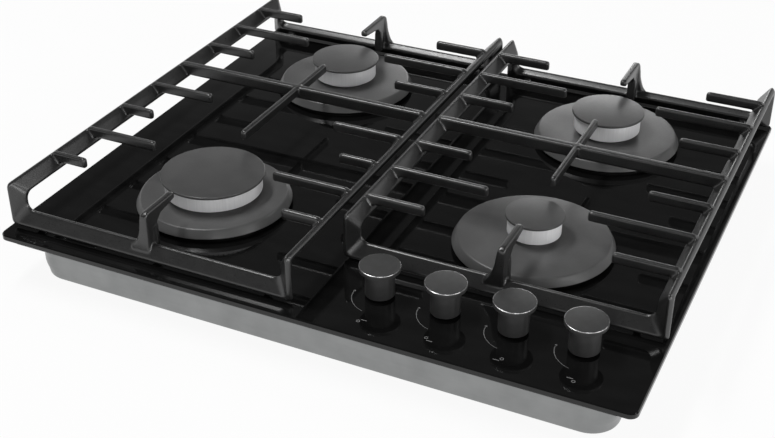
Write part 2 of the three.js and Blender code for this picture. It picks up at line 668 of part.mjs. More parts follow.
function probePlace(burner, turn) {
  const angle = THREE.MathUtils.degToRad(PROBE_ANGLE + turn * PROBE_SPREAD);
  const radius = burner.size.ringRadius + PROBE_MARGIN;
  return [burner.x + radius * Math.cos(angle), burner.y + radius * Math.sin(angle)];
}

function probeHoles(burner, shape, bottom, top) {
  let cut = shape;
  for (const turn of [-0.5, 0.5]) {
    const [x, y] = probePlace(burner, turn);
    cut = cut.subtract(solid(cylinder(PROBE_RADIUS + SEAT_GAP, bottom, top, x, y, ROD_SIDES)));
  }
  return cut;
}

function makeBasePlate(burner) {
  const foot = GLASS_TOP + SEAT_GAP;
  const bevel = GLASS_TOP + PLATE_BEVEL_HEIGHT;
  const top = GLASS_TOP + PLATE_HEIGHT;
  const eye = THROAT_RADIUS + THROAT_WALL + SEAT_GAP;
  const outline = [
    [eye, top - PLATE_WALL], [PLATE_TOP_RADIUS - PLATE_WALL, top - PLATE_WALL],
    [PLATE_FOOT_RADIUS - PLATE_WALL, bevel + PLATE_WALL], [PLATE_FOOT_RADIUS - PLATE_WALL, foot],
    [PLATE_FOOT_RADIUS, foot], [PLATE_FOOT_RADIUS, bevel], [PLATE_RADIUS, bevel], [PLATE_TOP_RADIUS, top],
    [eye, top], [eye, top - PLATE_WALL],
  ];
  const plate = solid(turned(outline, PLATE_SIDES)).translate([burner.x, burner.y, 0]);
  return probeHoles(burner, plate, foot, top + PLATE_WALL);
}

// The crown: a bright ring on a narrower foot, with the throat that drops into the cup.
function makeFlameRing(burner) {
  const size = burner.size;
  const seat = GLASS_TOP + PLATE_HEIGHT + SEAT_GAP;
  const ringBottom = seat + RING_SKIRT;
  const ringTop = GLASS_TOP + size.capTop - CAP_THICKNESS - SEAT_GAP;
  const throat = GLASS_TOP - CUP_FLANGE;
  const deck = ringBottom + RING_DECK;
  const outline = [
    [THROAT_RADIUS, throat], [THROAT_RADIUS + THROAT_WALL, throat], [THROAT_RADIUS + THROAT_WALL, seat],
    [size.ringRadius - RING_FOOT_INSET, seat], [size.ringRadius - RING_FOOT_INSET, ringBottom],
    [size.ringRadius, ringBottom], [size.ringRadius, ringTop], [size.ringRadius - RING_WALL, ringTop],
    [size.ringRadius - RING_WALL, deck], [THROAT_RADIUS, deck], [THROAT_RADIUS, throat],
  ];
  const ring = turned(outline, BURNER_SIDES);
  ring.translate(burner.x, burner.y, 0);
  return ring;
}

function makeCap(burner) {
  const size = burner.size;
  const top = GLASS_TOP + size.capTop;
  const bottom = top - CAP_THICKNESS;
  const spigot = size.ringRadius - RING_WALL - CAP_SPIGOT_GAP;
  const spigotFoot = bottom - CAP_SPIGOT_DROP;
  const outline = [
    [0, spigotFoot], [spigot, spigotFoot], [spigot, bottom], [size.capRadius - CAP_EDGE, bottom],
    [size.capRadius, bottom + CAP_EDGE], [size.capRadius, top - CAP_EDGE],
    [size.capRadius - CAP_EDGE, top], [0, top],
  ];
  const cap = turned(outline, BURNER_SIDES);
  cap.translate(burner.x, burner.y, 0);
  return cap;
}

// The cup holds the jet under the ring's throat, with a flange in the glass hole.
function makeCup(burner) {
  const bottom = BRIDGE_Z + BRIDGE_THICKNESS + SEAT_GAP;
  const flangeTop = GLASS_TOP + PLATE_BEVEL_HEIGHT / 2;
  const flangeBottom = flangeTop - CUP_FLANGE;
  const flange = glassHoleRadius(burner.size) - CUP_FLANGE_GAP;
  const bore = CUP_RADIUS - CUP_WALL;
  const jetHole = JET_RADIUS + SEAT_GAP;
  const outline = [
    [jetHole, bottom], [CUP_RADIUS, bottom], [CUP_RADIUS, flangeBottom], [flange, flangeBottom],
    [flange, flangeTop], [bore, flangeTop], [bore, bottom + CUP_FLOOR], [jetHole, bottom + CUP_FLOOR],
    [jetHole, bottom],
  ];
  const cup = solid(turned(outline, CUP_SIDES)).translate([burner.x, burner.y, 0]);
  return probeHoles(burner, cup, flangeBottom - CUT_MARGIN, flangeTop + CUT_MARGIN);
}

function makeJet(burner) {
  const bottom = BRIDGE_Z + BRIDGE_THICKNESS + SEAT_GAP;
  const floor = bottom + CUP_FLOOR + SEAT_GAP;
  const outline = [
    [0, bottom], [JET_RADIUS, bottom], [JET_RADIUS, floor], [JET_HEX, floor], [JET_HEX, floor + JET_HEIGHT / 3],
    [JET_RADIUS, floor + JET_HEIGHT / 2], [JET_RADIUS, floor + JET_HEIGHT], [JET_BORE, floor + JET_HEIGHT],
    [JET_BORE, bottom + JET_BORE_FLOOR], [0, bottom + JET_BORE_FLOOR],
  ];
  const jet = turned(outline, TURNED_ROD_SIDES);
  jet.translate(burner.x, burner.y, 0);
  return jet;
}

// Spark plug: a ceramic rod with a bare tip. Thermocouple: a slim steel rod.
function makeProbe(burner, turn, tip) {
  const bottom = GLASS_BOTTOM - PROBE_BOTTOM;
  const top = GLASS_TOP + PROBE_TOP;
  const collar = GLASS_TOP + PLATE_BEVEL_HEIGHT / 2 - CUP_FLANGE - SEAT_GAP;
  const collarFoot = collar - PROBE_COLLAR_HEIGHT;
  const wide = PROBE_RADIUS + PROBE_COLLAR;
  const [x, y] = probePlace(burner, turn);
  const outline = [
    [0, bottom], [PROBE_RADIUS, bottom], [PROBE_RADIUS, collarFoot], [wide, collarFoot],
    [wide, collar], [PROBE_RADIUS, collar], [PROBE_RADIUS, top - tip.height],
    [tip.radius, top - tip.height], [tip.radius, top], [0, top],
  ];
  const probe = turned(outline, TURNED_ROD_SIDES);
  probe.translate(x, y, 0);
  return probe;
}

// ---------------------------------------------------------------- knobs and taps

function makeKnob(knob) {
  const bottom = GLASS_TOP + KNOB_LIFT;
  const top = GLASS_TOP + KNOB_TOP;
  const neck = top - KNOB_HEAD_HEIGHT;
  const bore = SPINDLE_RADIUS + SEAT_GAP;
  const roof = neck - KNOB_BORE_ROOF;
  const outline = [
    [bore, bottom], [KNOB_STEM_RADIUS, bottom], [KNOB_STEM_RADIUS, neck],
    [KNOB_HEAD_RADIUS - KNOB_EDGE, neck], [KNOB_HEAD_RADIUS, neck + KNOB_EDGE],
    [KNOB_HEAD_RADIUS, top - KNOB_EDGE], [KNOB_HEAD_RADIUS - KNOB_EDGE, top],
    [0, top], [0, roof], [bore, roof], [bore, bottom],
  ];
  const body = turned(outline, KNOB_SIDES);
  body.translate(knob.x, KNOB_Y, 0);
  return body;
}

function spindleBottom() {
  return TAP_Z + TAP_FLOOR + SEAT_GAP + PLUG_HEIGHT / 2;
}

function makeSpindle(knob) {
  const bottom = spindleBottom();
  const top = GLASS_TOP + KNOB_TOP - KNOB_HEAD_HEIGHT - KNOB_BORE_ROOF - SEAT_GAP;
  return cylinder(SPINDLE_RADIUS, bottom, top, knob.x, KNOB_Y, ROD_SIDES);
}

// The plug turns in the tap; its socket lets the spindle be pushed down.
function makePlug(knob) {
  const bottom = TAP_Z + TAP_FLOOR + SEAT_GAP;
  const top = bottom + PLUG_HEIGHT;
  const socket = SPINDLE_RADIUS + RUNNING_GAP;
  const socketFloor = spindleBottom() - KNOB_LIFT;
  const outline = [
    [0, bottom], [PLUG_RADIUS - PLUG_TAPER, bottom], [PLUG_RADIUS, top], [socket, top], [socket, socketFloor],
    [0, socketFloor],
  ];
  const plug = turned(outline, PLUG_SIDES);
  plug.translate(knob.x, KNOB_Y, 0);
  return plug;
}

function makeTap(knob) {
  const body = solid(block(TAP_WIDTH, TAP_DEPTH, TAP_HEIGHT, knob.x, KNOB_Y, TAP_Z));
  const bottom = TAP_Z + TAP_FLOOR;
  const bore = turned([
    [0, bottom], [PLUG_RADIUS - PLUG_TAPER + RUNNING_GAP, bottom],
    [PLUG_RADIUS + RUNNING_GAP, bottom + PLUG_HEIGHT + SEAT_GAP],
    [PLUG_RADIUS + RUNNING_GAP, TAP_Z + TAP_HEIGHT + CUT_MARGIN], [0, TAP_Z + TAP_HEIGHT + CUT_MARGIN],
  ], PLUG_SIDES);
  bore.translate(knob.x, KNOB_Y, 0);
  return body.subtract(solid(bore));
}

// ---------------------------------------------------------------- gas rail and pipes

function makeRail() {
  const start = FIRST_KNOB_X - TAP_WIDTH / 2 - RAIL_OVERHANG;
  const end = INLET_BLOCK_BACK - INLET_BLOCK - SEAT_GAP;
  return tube([
    [start, RAIL_Y, RAIL_Z], [RAIL_SIDE_X, RAIL_Y, RAIL_Z], [RAIL_SIDE_X, RAIL_JOG_Y, RAIL_Z],
    [INLET_X, RAIL_JOG_Y + RAIL_JOG_DEPTH, RAIL_Z], [INLET_X, end, RAIL_Z],
  ], RAIL_RADIUS, RAIL_BEND, ROD_SIDES, RAIL_STEP);
}

// The inlet block ends the rail; its threaded stub leaves through the back wall.
function makeInlet() {
  const blockBack = INLET_BLOCK_BACK;
  const end = TRAY_BACK + INLET_REACH;
  const body = solid(block(
    INLET_BLOCK, INLET_BLOCK, INLET_BLOCK, INLET_X, blockBack - INLET_BLOCK / 2, RAIL_Z - INLET_BLOCK / 2));
  const length = end - blockBack + INLET_ROOT;
  const stub = cylinder(INLET_RADIUS, 0, length);
  const bore = cylinder(INLET_BORE, INLET_BORE_FLOOR - INLET_BLOCK, length + CUT_MARGIN);
  for (const round of [stub, bore]) {
    round.rotateX(-Math.PI / 2);
  }
  stub.translate(INLET_X, blockBack - INLET_ROOT, RAIL_Z);
  bore.translate(INLET_X, blockBack - INLET_ROOT, RAIL_Z);
  return body.add(solid(stub)).subtract(solid(bore));
}

// One pipe from each tap to the side of its burner's cup, clear of the rail and each other.
function pipeRoutes() {
  const start = TAP_BACK + SEAT_GAP;
  const reach = CUP_RADIUS + SEAT_GAP;
  const [x0, x1, x2, x3] = KNOBS.map((knob) => knob.x);
  const [frontLeft, backLeft, backRight, frontRight] = BURNERS;
  const high = PIPE_Z;
  const low = LOW_PIPE_Z;
  const dipEnd = backRight.y - DIP_END;
  return [
    [[x0, start, high], [x0, frontLeft.y, high], [frontLeft.x + reach, frontLeft.y, high]],
    [[x1, start, high], [x1, start + PIPE_LEAD, high],
      [LEFT_PIPE_X, start + PIPE_LEAD + PIPE_SHIFT + LEFT_PIPE_ROOM, high],
      [LEFT_PIPE_X, backLeft.y - CROSS_PIPE_DROP, high], [backLeft.x + CROSS_PIPE_END, backLeft.y, high],
      [backLeft.x + reach, backLeft.y, high]],
    [[x2, start, high], [x2, start + PIPE_LEAD, high], [RIGHT_PIPE_X, start + PIPE_LEAD + PIPE_SHIFT, low],
      [RIGHT_PIPE_X, dipEnd, low], [RIGHT_PIPE_X, dipEnd + DIP_RISE, high],
      [RIGHT_PIPE_X, backRight.y, high], [backRight.x + reach, backRight.y, high]],
    [[x3, start, high], [x3, frontRight.y, high], [frontRight.x + reach, frontRight.y, high]],
  ];
}

// ---------------------------------------------------------------- carriers and wiring pieces

// A folded steel strap under two burners, standing on the tray's floor.
function makeBridge(x) {
  const floor = TRAY_WALL + SEAT_GAP;
  const t = BRIDGE_THICKNESS;
  const top = BRIDGE_Z + t;
  const outline = [
    [BRIDGE_FRONT - BRIDGE_FOOT, floor], [BRIDGE_FRONT + t, floor], [BRIDGE_FRONT + t, BRIDGE_Z],
    [BRIDGE_BACK - t, BRIDGE_Z], [BRIDGE_BACK - t, floor], [BRIDGE_BACK + BRIDGE_FOOT, floor],
    [BRIDGE_BACK + BRIDGE_FOOT, floor + t], [BRIDGE_BACK, floor + t], [BRIDGE_BACK, top],
    [BRIDGE_FRONT, top], [BRIDGE_FRONT, floor + t], [BRIDGE_FRONT - BRIDGE_FOOT, floor + t],
  ];
  return uprightBar(outline, BRIDGE_WIDTH, x, 0, true, 0);
}

function makeIgnitionUnit() {
  const [width, depth, height] = IGNITION_SIZE;
  const [sideSetback, y] = IGNITION_SETBACK;
  const x = sideSetback - TRAY_WIDTH / 2;
  const floor = TRAY_WALL + SEAT_GAP;
  let unit = solid(block(width, depth, height, x, y, floor));
  for (let i = 0; i < BURNERS.length; i++) {
    const postY = y + (i - (BURNERS.length - 1) / 2) * IGNITION_POST_PITCH;
    const top = floor + height;
    const tip = top + IGNITION_POST_HEIGHT;
    unit = unit.add(solid(cylinder(IGNITION_POST_RADIUS, top - CUT_MARGIN, tip, x, postY, ROD_SIDES)));
  }
  return unit;
}

function makeTerminalBlock() {
  const [width, depth, height] = TERMINAL_SIZE;
  const floor = TRAY_WALL + SEAT_GAP;
  const y = TRAY_BACK - TRAY_WALL - TERMINAL_SETBACK - depth / 2;
  const top = floor + height;
  let terminal = solid(block(width, depth, height, TERMINAL_X, y, floor));
  for (const i of [-1, 0, 1]) {
    const x = TERMINAL_X + i * WELL_PITCH;
    const well = cylinder(WELL_RADIUS, top - WELL_DEPTH, top + CUT_MARGIN, x, y, SMALL_SIDES);
    terminal = terminal.subtract(solid(well));
  }
  return terminal;
}

// The bush in the tray's back wall that a mains lead would come in through.
function makeGland() {
  const inner = TRAY_BACK - TRAY_WALL - SEAT_GAP;
  const outer = TRAY_BACK + SEAT_GAP;
  const front = inner - GLAND_INNER_COLLAR;
  const back = outer + GLAND_OUTER_COLLAR;
  const outline = [
    [GLAND_BORE, front], [GLAND_COLLAR, front], [GLAND_COLLAR, inner], [GLAND_RADIUS, inner],
    [GLAND_RADIUS, outer], [GLAND_COLLAR, outer], [GLAND_COLLAR, back], [GLAND_BORE, back], [GLAND_BORE, front],
  ];
  const gland = turned(outline, CUP_SIDES);
  gland.rotateX(-Math.PI / 2);
  gland.translate(TERMINAL_X, 0, RAIL_Z);
  return gland;
}

// ---------------------------------------------------------------- the assembly

part('lower_tray', makeTray(), PRESSED_STEEL);
part('glass_top', makeGlass(), BLACK_GLASS);
part('rim_seal', makeSeal(), FOAM);

part('pan_support_left', makeGrate(
  LEFT_GRATE_X, LEFT_GRATE_FRONT, [...BACK_ROWS, ...LEFT_FRONT_ROWS], LEFT_SPINE_FRONT), CAST_IRON);
part('pan_support_right', makeGrate(
  RIGHT_GRATE_X, RIGHT_GRATE_FRONT, [...BACK_ROWS, ...RIGHT_FRONT_ROWS], RIGHT_SPINE_FRONT), CAST_IRON);

for (const burner of BURNERS) {
  part(`base_plate_${burner.name}`, makeBasePlate(burner), PLATE_ENAMEL);
  part(`flame_ring_${burner.name}`, makeFlameRing(burner), BRIGHT_ALUMINIUM);
  part(`burner_cap_${burner.name}`, makeCap(burner), CAP_ENAMEL);
  part(`burner_cup_${burner.name}`, makeCup(burner), CAST_ALUMINIUM);
  part(`gas_jet_${burner.name}`, makeJet(burner), BRASS);
  part(`spark_plug_${burner.name}`, makeProbe(burner, -0.5, SPARK_TIP), CERAMIC);
  part(`thermocouple_${burner.name}`, makeProbe(burner, 0.5, THERMOCOUPLE_TIP), PROBE_STEEL);
}

const routes = pipeRoutes();
KNOBS.forEach((knob, i) => {
  part(`knob_${knob.name}`, makeKnob(knob), KNOB_PLASTIC);
  part(`spindle_${knob.name}`, makeSpindle(knob), PROBE_STEEL);
  part(`tap_plug_${knob.name}`, makePlug(knob), BRASS);
  part(`gas_tap_${knob.name}`, makeTap(knob), CAST_ALUMINIUM);
  const pipe = tube(routes[i], PIPE_RADIUS, PIPE_BEND, TURNED_ROD_SIDES, PIPE_STEP);
  part(`gas_pipe_${knob.name}`, pipe, BRIGHT_ALUMINIUM);
});

part('gas_rail', makeRail(), PRESSED_STEEL);
part('gas_inlet', makeInlet(), BRASS);
part('burner_bridge_left', makeBridge(-BURNER_X), PRESSED_STEEL);
part('burner_bridge_right', makeBridge(BURNER_X), PRESSED_STEEL);
part('ignition_unit', makeIgnitionUnit(), WHITE_PLASTIC);
part('terminal_block', makeTerminalBlock(), GREY_PLASTIC);
part('lead_gland', makeGland(), FOAM);

export default group;
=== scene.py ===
# %% [markdown]
# # A built-in gas cooktop
#
# This lesson dresses a finished model of a gas cooktop for a studio picture. The
# sizes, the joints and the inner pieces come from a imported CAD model, the frame.
# Blender adds what CAD leaves plain: soft cast edges, flame ports, printed dial
# marks and a proper finish on every piece. Everything is drawn in millimetres
# and scaled to metres, because the CAD model is drawn in millimetres too.

# %% Load the frame
import json
import math

import bmesh
import bpy
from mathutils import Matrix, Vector


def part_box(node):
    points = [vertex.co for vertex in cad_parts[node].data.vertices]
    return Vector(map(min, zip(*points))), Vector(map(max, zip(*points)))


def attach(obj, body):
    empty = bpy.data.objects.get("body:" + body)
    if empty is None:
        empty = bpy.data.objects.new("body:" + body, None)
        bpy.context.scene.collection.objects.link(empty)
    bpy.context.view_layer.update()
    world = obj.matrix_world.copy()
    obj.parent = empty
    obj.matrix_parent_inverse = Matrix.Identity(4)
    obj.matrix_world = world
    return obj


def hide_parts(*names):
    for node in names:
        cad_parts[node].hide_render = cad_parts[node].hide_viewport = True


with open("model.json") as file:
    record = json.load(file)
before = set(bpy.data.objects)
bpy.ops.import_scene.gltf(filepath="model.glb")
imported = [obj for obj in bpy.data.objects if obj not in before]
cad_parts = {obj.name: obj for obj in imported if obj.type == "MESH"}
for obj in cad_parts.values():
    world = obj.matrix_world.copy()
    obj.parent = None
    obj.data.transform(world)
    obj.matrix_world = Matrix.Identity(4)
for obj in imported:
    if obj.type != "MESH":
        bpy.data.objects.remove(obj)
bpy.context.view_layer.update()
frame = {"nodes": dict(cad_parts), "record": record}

MM = 0.001
record = frame["record"]
slot_of = {row["node"]: row["material_slot"] for row in record["subparts"]}
body_of = {node: body for body, nodes in record["behaviour"]["bodies"].items() for node in nodes}

# %% [markdown]
# ## The camera
#
# The photograph was taken from the front right, looking down at about 32 degrees.
# Its place and its long lens were worked out from the straight edges of the
# glass. A camera can be aimed by hand or by a constraint; here a rotation built
# from the viewing direction keeps the horizon level and never changes by itself.

# %% Place the camera
PHOTO_WIDTH, PHOTO_HEIGHT = 775, 438
FOCAL_PIXELS = 1293.8
OPTICAL_CENTRE = (385.8, 219.3)  # where the lens points, in the photograph's pixels
CAMERA_PLACE = Vector((0.44761, -1.01514, 0.68293))
CAMERA_TARGET = Vector((0.01016, -0.08568, 0.0495))

lens = bpy.data.cameras.new("photo_lens")
lens.sensor_width = 36
lens.lens = FOCAL_PIXELS * lens.sensor_width / PHOTO_WIDTH
lens.shift_x = (PHOTO_WIDTH / 2 - OPTICAL_CENTRE[0]) / PHOTO_WIDTH
lens.shift_y = (OPTICAL_CENTRE[1] - PHOTO_HEIGHT / 2) / PHOTO_WIDTH
lens.clip_start, lens.clip_end = 0.05, 50
camera = bpy.data.objects.new("photo_camera", lens)
camera.location = CAMERA_PLACE
camera.rotation_euler = (CAMERA_TARGET - CAMERA_PLACE).to_track_quat("-Z", "Y").to_euler()
bpy.context.scene.collection.objects.link(camera)
bpy.context.scene.camera = camera
bpy.context.scene.view_settings.view_transform = "Standard"
print("lens", round(lens.lens, 1), "mm, from", round((CAMERA_TARGET - CAMERA_PLACE).length, 3), "m")

# %% [markdown]
# ## The studio
#
# A black glass top shows the room like a mirror, so the room matters as much as
# the lamps. The backdrop that the camera, metal and glass see is white up to a
# little above the horizon and fades to a dark ceiling: the flat glass then stays
# black, while upright rings, knobs and the tray's edge pick up the white. A picture
# of a studio could do the same, but a gradient on the world needs no image. Matt
# surfaces are lit by an even grey sky instead, and by soft lamps. The long one
# overhead is mirrored by the sloping upper edge of the back rails; the others
# light the rings, knobs and caps from the right, the back and low in front.

# %% Light the room
SKY_STRENGTH = 0.25
WHITE_BELOW, DARK_ABOVE = math.sin(math.radians(12)), math.sin(math.radians(28))
CEILING = 0.09


def join_nodes(tree, *pairs):
    for start, end in pairs:
        tree.links.new(start, end)


def set_range(ramp, *limits):
    """Sets a Map Range node from its two input limits and its two output limits."""
    for socket, value in zip(("From Min", "From Max", "To Min", "To Max"), limits):
        ramp.inputs[socket].default_value = value


def seen_directly(tree):
    """1 for rays from the camera or mirrored or passed on by a surface, 0 for diffuse light."""
    path = tree.nodes.new("ShaderNodeLightPath")
    either = tree.nodes.new("ShaderNodeMath")
    either.operation = "MAXIMUM"
    any_of = tree.nodes.new("ShaderNodeMath")
    any_of.operation = "MAXIMUM"
    join_nodes(
        tree,
        (path.outputs["Is Camera Ray"], either.inputs[0]),
        (path.outputs["Is Glossy Ray"], either.inputs[1]),
        (either.outputs[0], any_of.inputs[0]),
        (path.outputs["Is Transmission Ray"], any_of.inputs[1]),
    )
    return any_of.outputs[0]


world = bpy.data.worlds.new("studio")
bpy.context.scene.world = world
world.use_nodes = True
room = world.node_tree
room.nodes.clear()
direction = room.nodes.new("ShaderNodeTexCoord")
height = room.nodes.new("ShaderNodeSeparateXYZ")
fade = room.nodes.new("ShaderNodeMapRange")
fade.interpolation_type = "SMOOTHSTEP"
set_range(fade, WHITE_BELOW, DARK_ABOVE, 1.0, CEILING)
backdrop = room.nodes.new("ShaderNodeBackground")
sky = room.nodes.new("ShaderNodeBackground")
sky.inputs["Color"].default_value = (1, 1, 1, 1)
sky.inputs["Strength"].default_value = SKY_STRENGTH
choose = room.nodes.new("ShaderNodeMixShader")
out = room.nodes.new("ShaderNodeOutputWorld")
join_nodes(
    room,
    (direction.outputs["Generated"], height.inputs[0]),
    (height.outputs["Z"], fade.inputs["Value"]),
    (fade.outputs["Result"], backdrop.inputs["Color"]),
    (seen_directly(room), choose.inputs[0]),
    (sky.outputs[0], choose.inputs[1]),
    (backdrop.outputs[0], choose.inputs[2]),
    (choose.outputs[0], out.inputs["Surface"]),
)
print("backdrop white below", round(WHITE_BELOW, 2), "and", CEILING, "overhead")

# %% Hang the lamps
LOOK_AT = Vector((0, 0, 0.05))


def softbox(name, place, size, watts):
    """A square or oblong area lamp that faces the cooktop."""
    light = bpy.data.lights.new(name, "AREA")
    light.shape = "RECTANGLE"
    light.size, light.size_y = size
    light.energy = watts
    lamp = bpy.data.objects.new(name, light)
    lamp.location = place
    lamp.rotation_euler = (LOOK_AT - Vector(place)).to_track_quat("-Z", "Y").to_euler()
    bpy.context.scene.collection.objects.link(lamp)


softbox("key_softbox", (-0.65, -0.2, 1.7), (1.1, 0.22), 19)
softbox("right_softbox", (1.9, -0.5, 0.75), (0.8, 0.8), 13)
softbox("right_back_softbox", (1.4, 0.85, 1.15), (0.6, 0.6), 4)
softbox("low_back_softbox", (-0.5, 2.15, 0.62), (0.9, 0.45), 5)
softbox("front_softbox", (1.0, -1.8, 0.45), (0.7, 0.5), 6)

# %% [markdown]
# ## The floor
#
# The cooktop stands on its tray before it is built in. The floor is a plain pale
# sheet. Part of what the camera and shiny surfaces see of it is a fixed white, so
# the picture has a white ground without brighter lamps, and the rest is real
# diffuse light, so the shadow of the object stays.

# %% Lay the floor
FLOOR_HALF = 6.0
FLOOR_DROP = 0.0002  # just under the tray, so the two faces don't flicker
FLOOR_WHITE_SHARE = 0.92
PAPER_TONE = 0.86

bpy.ops.mesh.primitive_plane_add(size=2 * FLOOR_HALF, location=(0, 0, -FLOOR_DROP))
floor = bpy.context.object
floor.name = "studio_floor"
paper = bpy.data.materials.new("floor_paper")
paper.use_nodes = True
sheet = paper.node_tree
sheet.nodes.clear()
matt = sheet.nodes.new("ShaderNodeBsdfDiffuse")
matt.inputs["Color"].default_value = (PAPER_TONE, PAPER_TONE, PAPER_TONE, 1)
glow = sheet.nodes.new("ShaderNodeEmission")
glow.inputs["Color"].default_value = (1, 1, 1, 1)
share = sheet.nodes.new("ShaderNodeMath")
share.operation = "MULTIPLY"
share.inputs[1].default_value = FLOOR_WHITE_SHARE
blend = sheet.nodes.new("ShaderNodeMixShader")
surface = sheet.nodes.new("ShaderNodeOutputMaterial")
join_nodes(
    sheet,
    (seen_directly(sheet), share.inputs[0]),
    (share.outputs[0], blend.inputs[0]),
    (matt.outputs[0], blend.inputs[1]),
    (glow.outputs[0], blend.inputs[2]),
    (blend.outputs[0], surface.inputs["Surface"]),
)
floor.data.materials.append(paper)
print("floor", 2 * FLOOR_HALF, "m across")

# %% [markdown]
# ## A base for the finishes
#
# Every finish starts as one Principled shader, with its constant values written
# straight on the shader. Real surfaces are never quite even, so a helper then
# lets one noise pattern drive three things at once: a slight change of colour, a
# slight change of gloss, and a fine relief. Image textures would also work, but a
# noise in object coordinates needs no unwrapping and has its true size in
# millimetres on every piece.

# %% Start a finish
PATTERN_LOW, PATTERN_HIGH = 0.3, 0.7  # the part of a noise that holds nearly all of its values
finishes = {}


def grey(value):
    return (value, value, value, 1)


def new_finish(slot, colour, roughness, metallic=0.0, **sockets):
    """A named material with its even values on the Principled shader's own sockets."""
    finish = bpy.data.materials.new(slot)
    finish.use_nodes = True
    shader = finish.node_tree.nodes["Principled BSDF"]
    shader.inputs["Base Color"].default_value = colour
    shader.inputs["Roughness"].default_value = roughness
    shader.inputs["Metallic"].default_value = metallic
    for socket, value in sockets.items():
        shader.inputs[socket.replace("_", " ")].default_value = value
    finishes[slot] = finish
    return finish


def grain(finish, size, stretch=(1, 1, 1), detail=3.0, round_axis=False):
    """A noise from 0 to 1 with cells of about size millimetres, stretched along an axis if asked.

    With round_axis the pattern runs straight down a turned piece, as tool marks do."""
    tree = finish.node_tree
    where = tree.nodes.new("ShaderNodeTexCoord").outputs["Object"]
    if round_axis:
        flat = tree.nodes.new("ShaderNodeVectorMath")
        flat.operation = "MULTIPLY"
        flat.inputs[1].default_value = (1, 1, 0)
        unit = tree.nodes.new("ShaderNodeVectorMath")
        unit.operation = "NORMALIZE"
        join_nodes(tree, (where, flat.inputs[0]), (flat.outputs[0], unit.inputs[0]))
        where = unit.outputs[0]
    scale = tree.nodes.new("ShaderNodeVectorMath")
    scale.operation = "MULTIPLY"
    scale.inputs[1].default_value = [1 / (size * (1 if round_axis else MM) * s) for s in stretch]
    pattern = tree.nodes.new("ShaderNodeTexNoise")
    pattern.inputs["Scale"].default_value = 1.0
    pattern.inputs["Detail"].default_value = detail
    join_nodes(tree, (where, scale.inputs[0]), (scale.outputs[0], pattern.inputs["Vector"]))
    return pattern.outputs["Fac"]


def spread(finish, pattern, low, high):
    """Maps the middle of a noise pattern to low..high."""
    ramp = finish.node_tree.nodes.new("ShaderNodeMapRange")
    set_range(ramp, PATTERN_LOW, PATTERN_HIGH, low, high)
    join_nodes(finish.node_tree, (pattern, ramp.inputs["Value"]))
    return ramp.outputs["Result"]


def vary_colour(finish, pattern, dark, light):
    """Lets the base colour wander between two tones with the pattern."""
    tree = finish.node_tree
    shader = tree.nodes["Principled BSDF"]
    tones = tree.nodes.new("ShaderNodeValToRGB")
    for stop, place, tone in zip(tones.color_ramp.elements, (PATTERN_LOW, PATTERN_HIGH), (dark, light)):
        stop.position, stop.color = place, tone
    join_nodes(tree, (pattern, tones.inputs["Fac"]), (tones.outputs[0], shader.inputs["Base Color"]))


def vary_roughness(finish, pattern, low, high):
    shader = finish.node_tree.nodes["Principled BSDF"]
    join_nodes(finish.node_tree, (spread(finish, pattern, low, high), shader.inputs["Roughness"]))


def relief(finish, pattern, height_mm):
    """Raises and lowers the surface by about height_mm, on top of any relief it has already."""
    tree = finish.node_tree
    shader = tree.nodes["Principled BSDF"]
    bump = tree.nodes.new("ShaderNodeBump")
    bump.inputs["Distance"].default_value = height_mm * MM
    bump.inputs["Strength"].default_value = 1.0
    before = shader.inputs["Normal"].links
    if before:
        join_nodes(tree, (before[0].from_socket, bump.inputs["Normal"]))
    join_nodes(tree, (pattern, bump.inputs["Height"]), (bump.outputs[0], shader.inputs["Normal"]))


# %% [markdown]
# ## Black glass
#
# The top is toughened glass, printed black on its underside, so it reads as a
# black body under a clear, hard gloss. A transmissive shader over a black layer
# would be truer and far slower. One dark glossy shader looks the same, because no
# light comes back from inside. A faint film from wiping keeps it from being a
# perfect mirror.

# %% Make the glass finish
glass = new_finish("glass", grey(0.0045), 0.05, IOR=1.45)
wiping = grain(glass, 45, (1, 0.35, 1), detail=4)
vary_colour(glass, wiping, grey(0.0035), grey(0.0062))
vary_roughness(glass, wiping, 0.035, 0.075)
print("glass finish ready")

# %% [markdown]
# ## Coated cast iron
#
# The pan supports are cast iron under a satin black enamel. Sand casting leaves a
# fine pebbled skin and slight waves, and the enamel is a shade lighter where it
# is thin. Two grains do this: a fine one for the pebbles and a broad one for the
# waves and tone.

# %% Make the cast iron finish
iron = new_finish("cast_iron", grey(0.012), 0.32, Specular_IOR_Level=0.8)
pebbles = grain(iron, 1.1, detail=2)
waves = grain(iron, 14, detail=3)
vary_colour(iron, waves, grey(0.009), grey(0.015))
vary_roughness(iron, pebbles, 0.27, 0.37)
relief(iron, waves, 0.08)
relief(iron, pebbles, 0.03)
print("cast iron finish ready")

# %% [markdown]
# ## Enamel on the caps and base plates
#
# The burner caps and the round plates under them are pressed or forged pieces
# with a satin enamel, a little lighter than the pan supports. Enamel flows before
# it sets, so its relief is a soft orange peel rather than pebbles.

# %% Make the two enamels
for slot, dark, light, low, high in (
    ("cap_enamel", 0.046, 0.060, 0.29, 0.37),
    ("plate_enamel", 0.066, 0.084, 0.32, 0.42),
):
    enamel = new_finish(slot, grey((dark + light) / 2), (low + high) / 2)
    tone = grain(enamel, 22, detail=3)
    peel = grain(enamel, 2.4, detail=2)
    vary_colour(enamel, tone, grey(dark), grey(light))
    vary_roughness(enamel, peel, low, high)
    relief(enamel, peel, 0.02)
print("enamel finishes ready")

# %% [markdown]
# ## Turned aluminium
#
# The flame rings are bare aluminium, machined round, with faint streaks down
# their sides where the metal was brushed. The streaks depend only on the angle
# round the ring, so the pattern is read from the direction away from the axis.
# Each ring's object therefore has its origin on its own axis. A full metal would
# mirror the black glass round it and turn dark, so the metallic share is small.

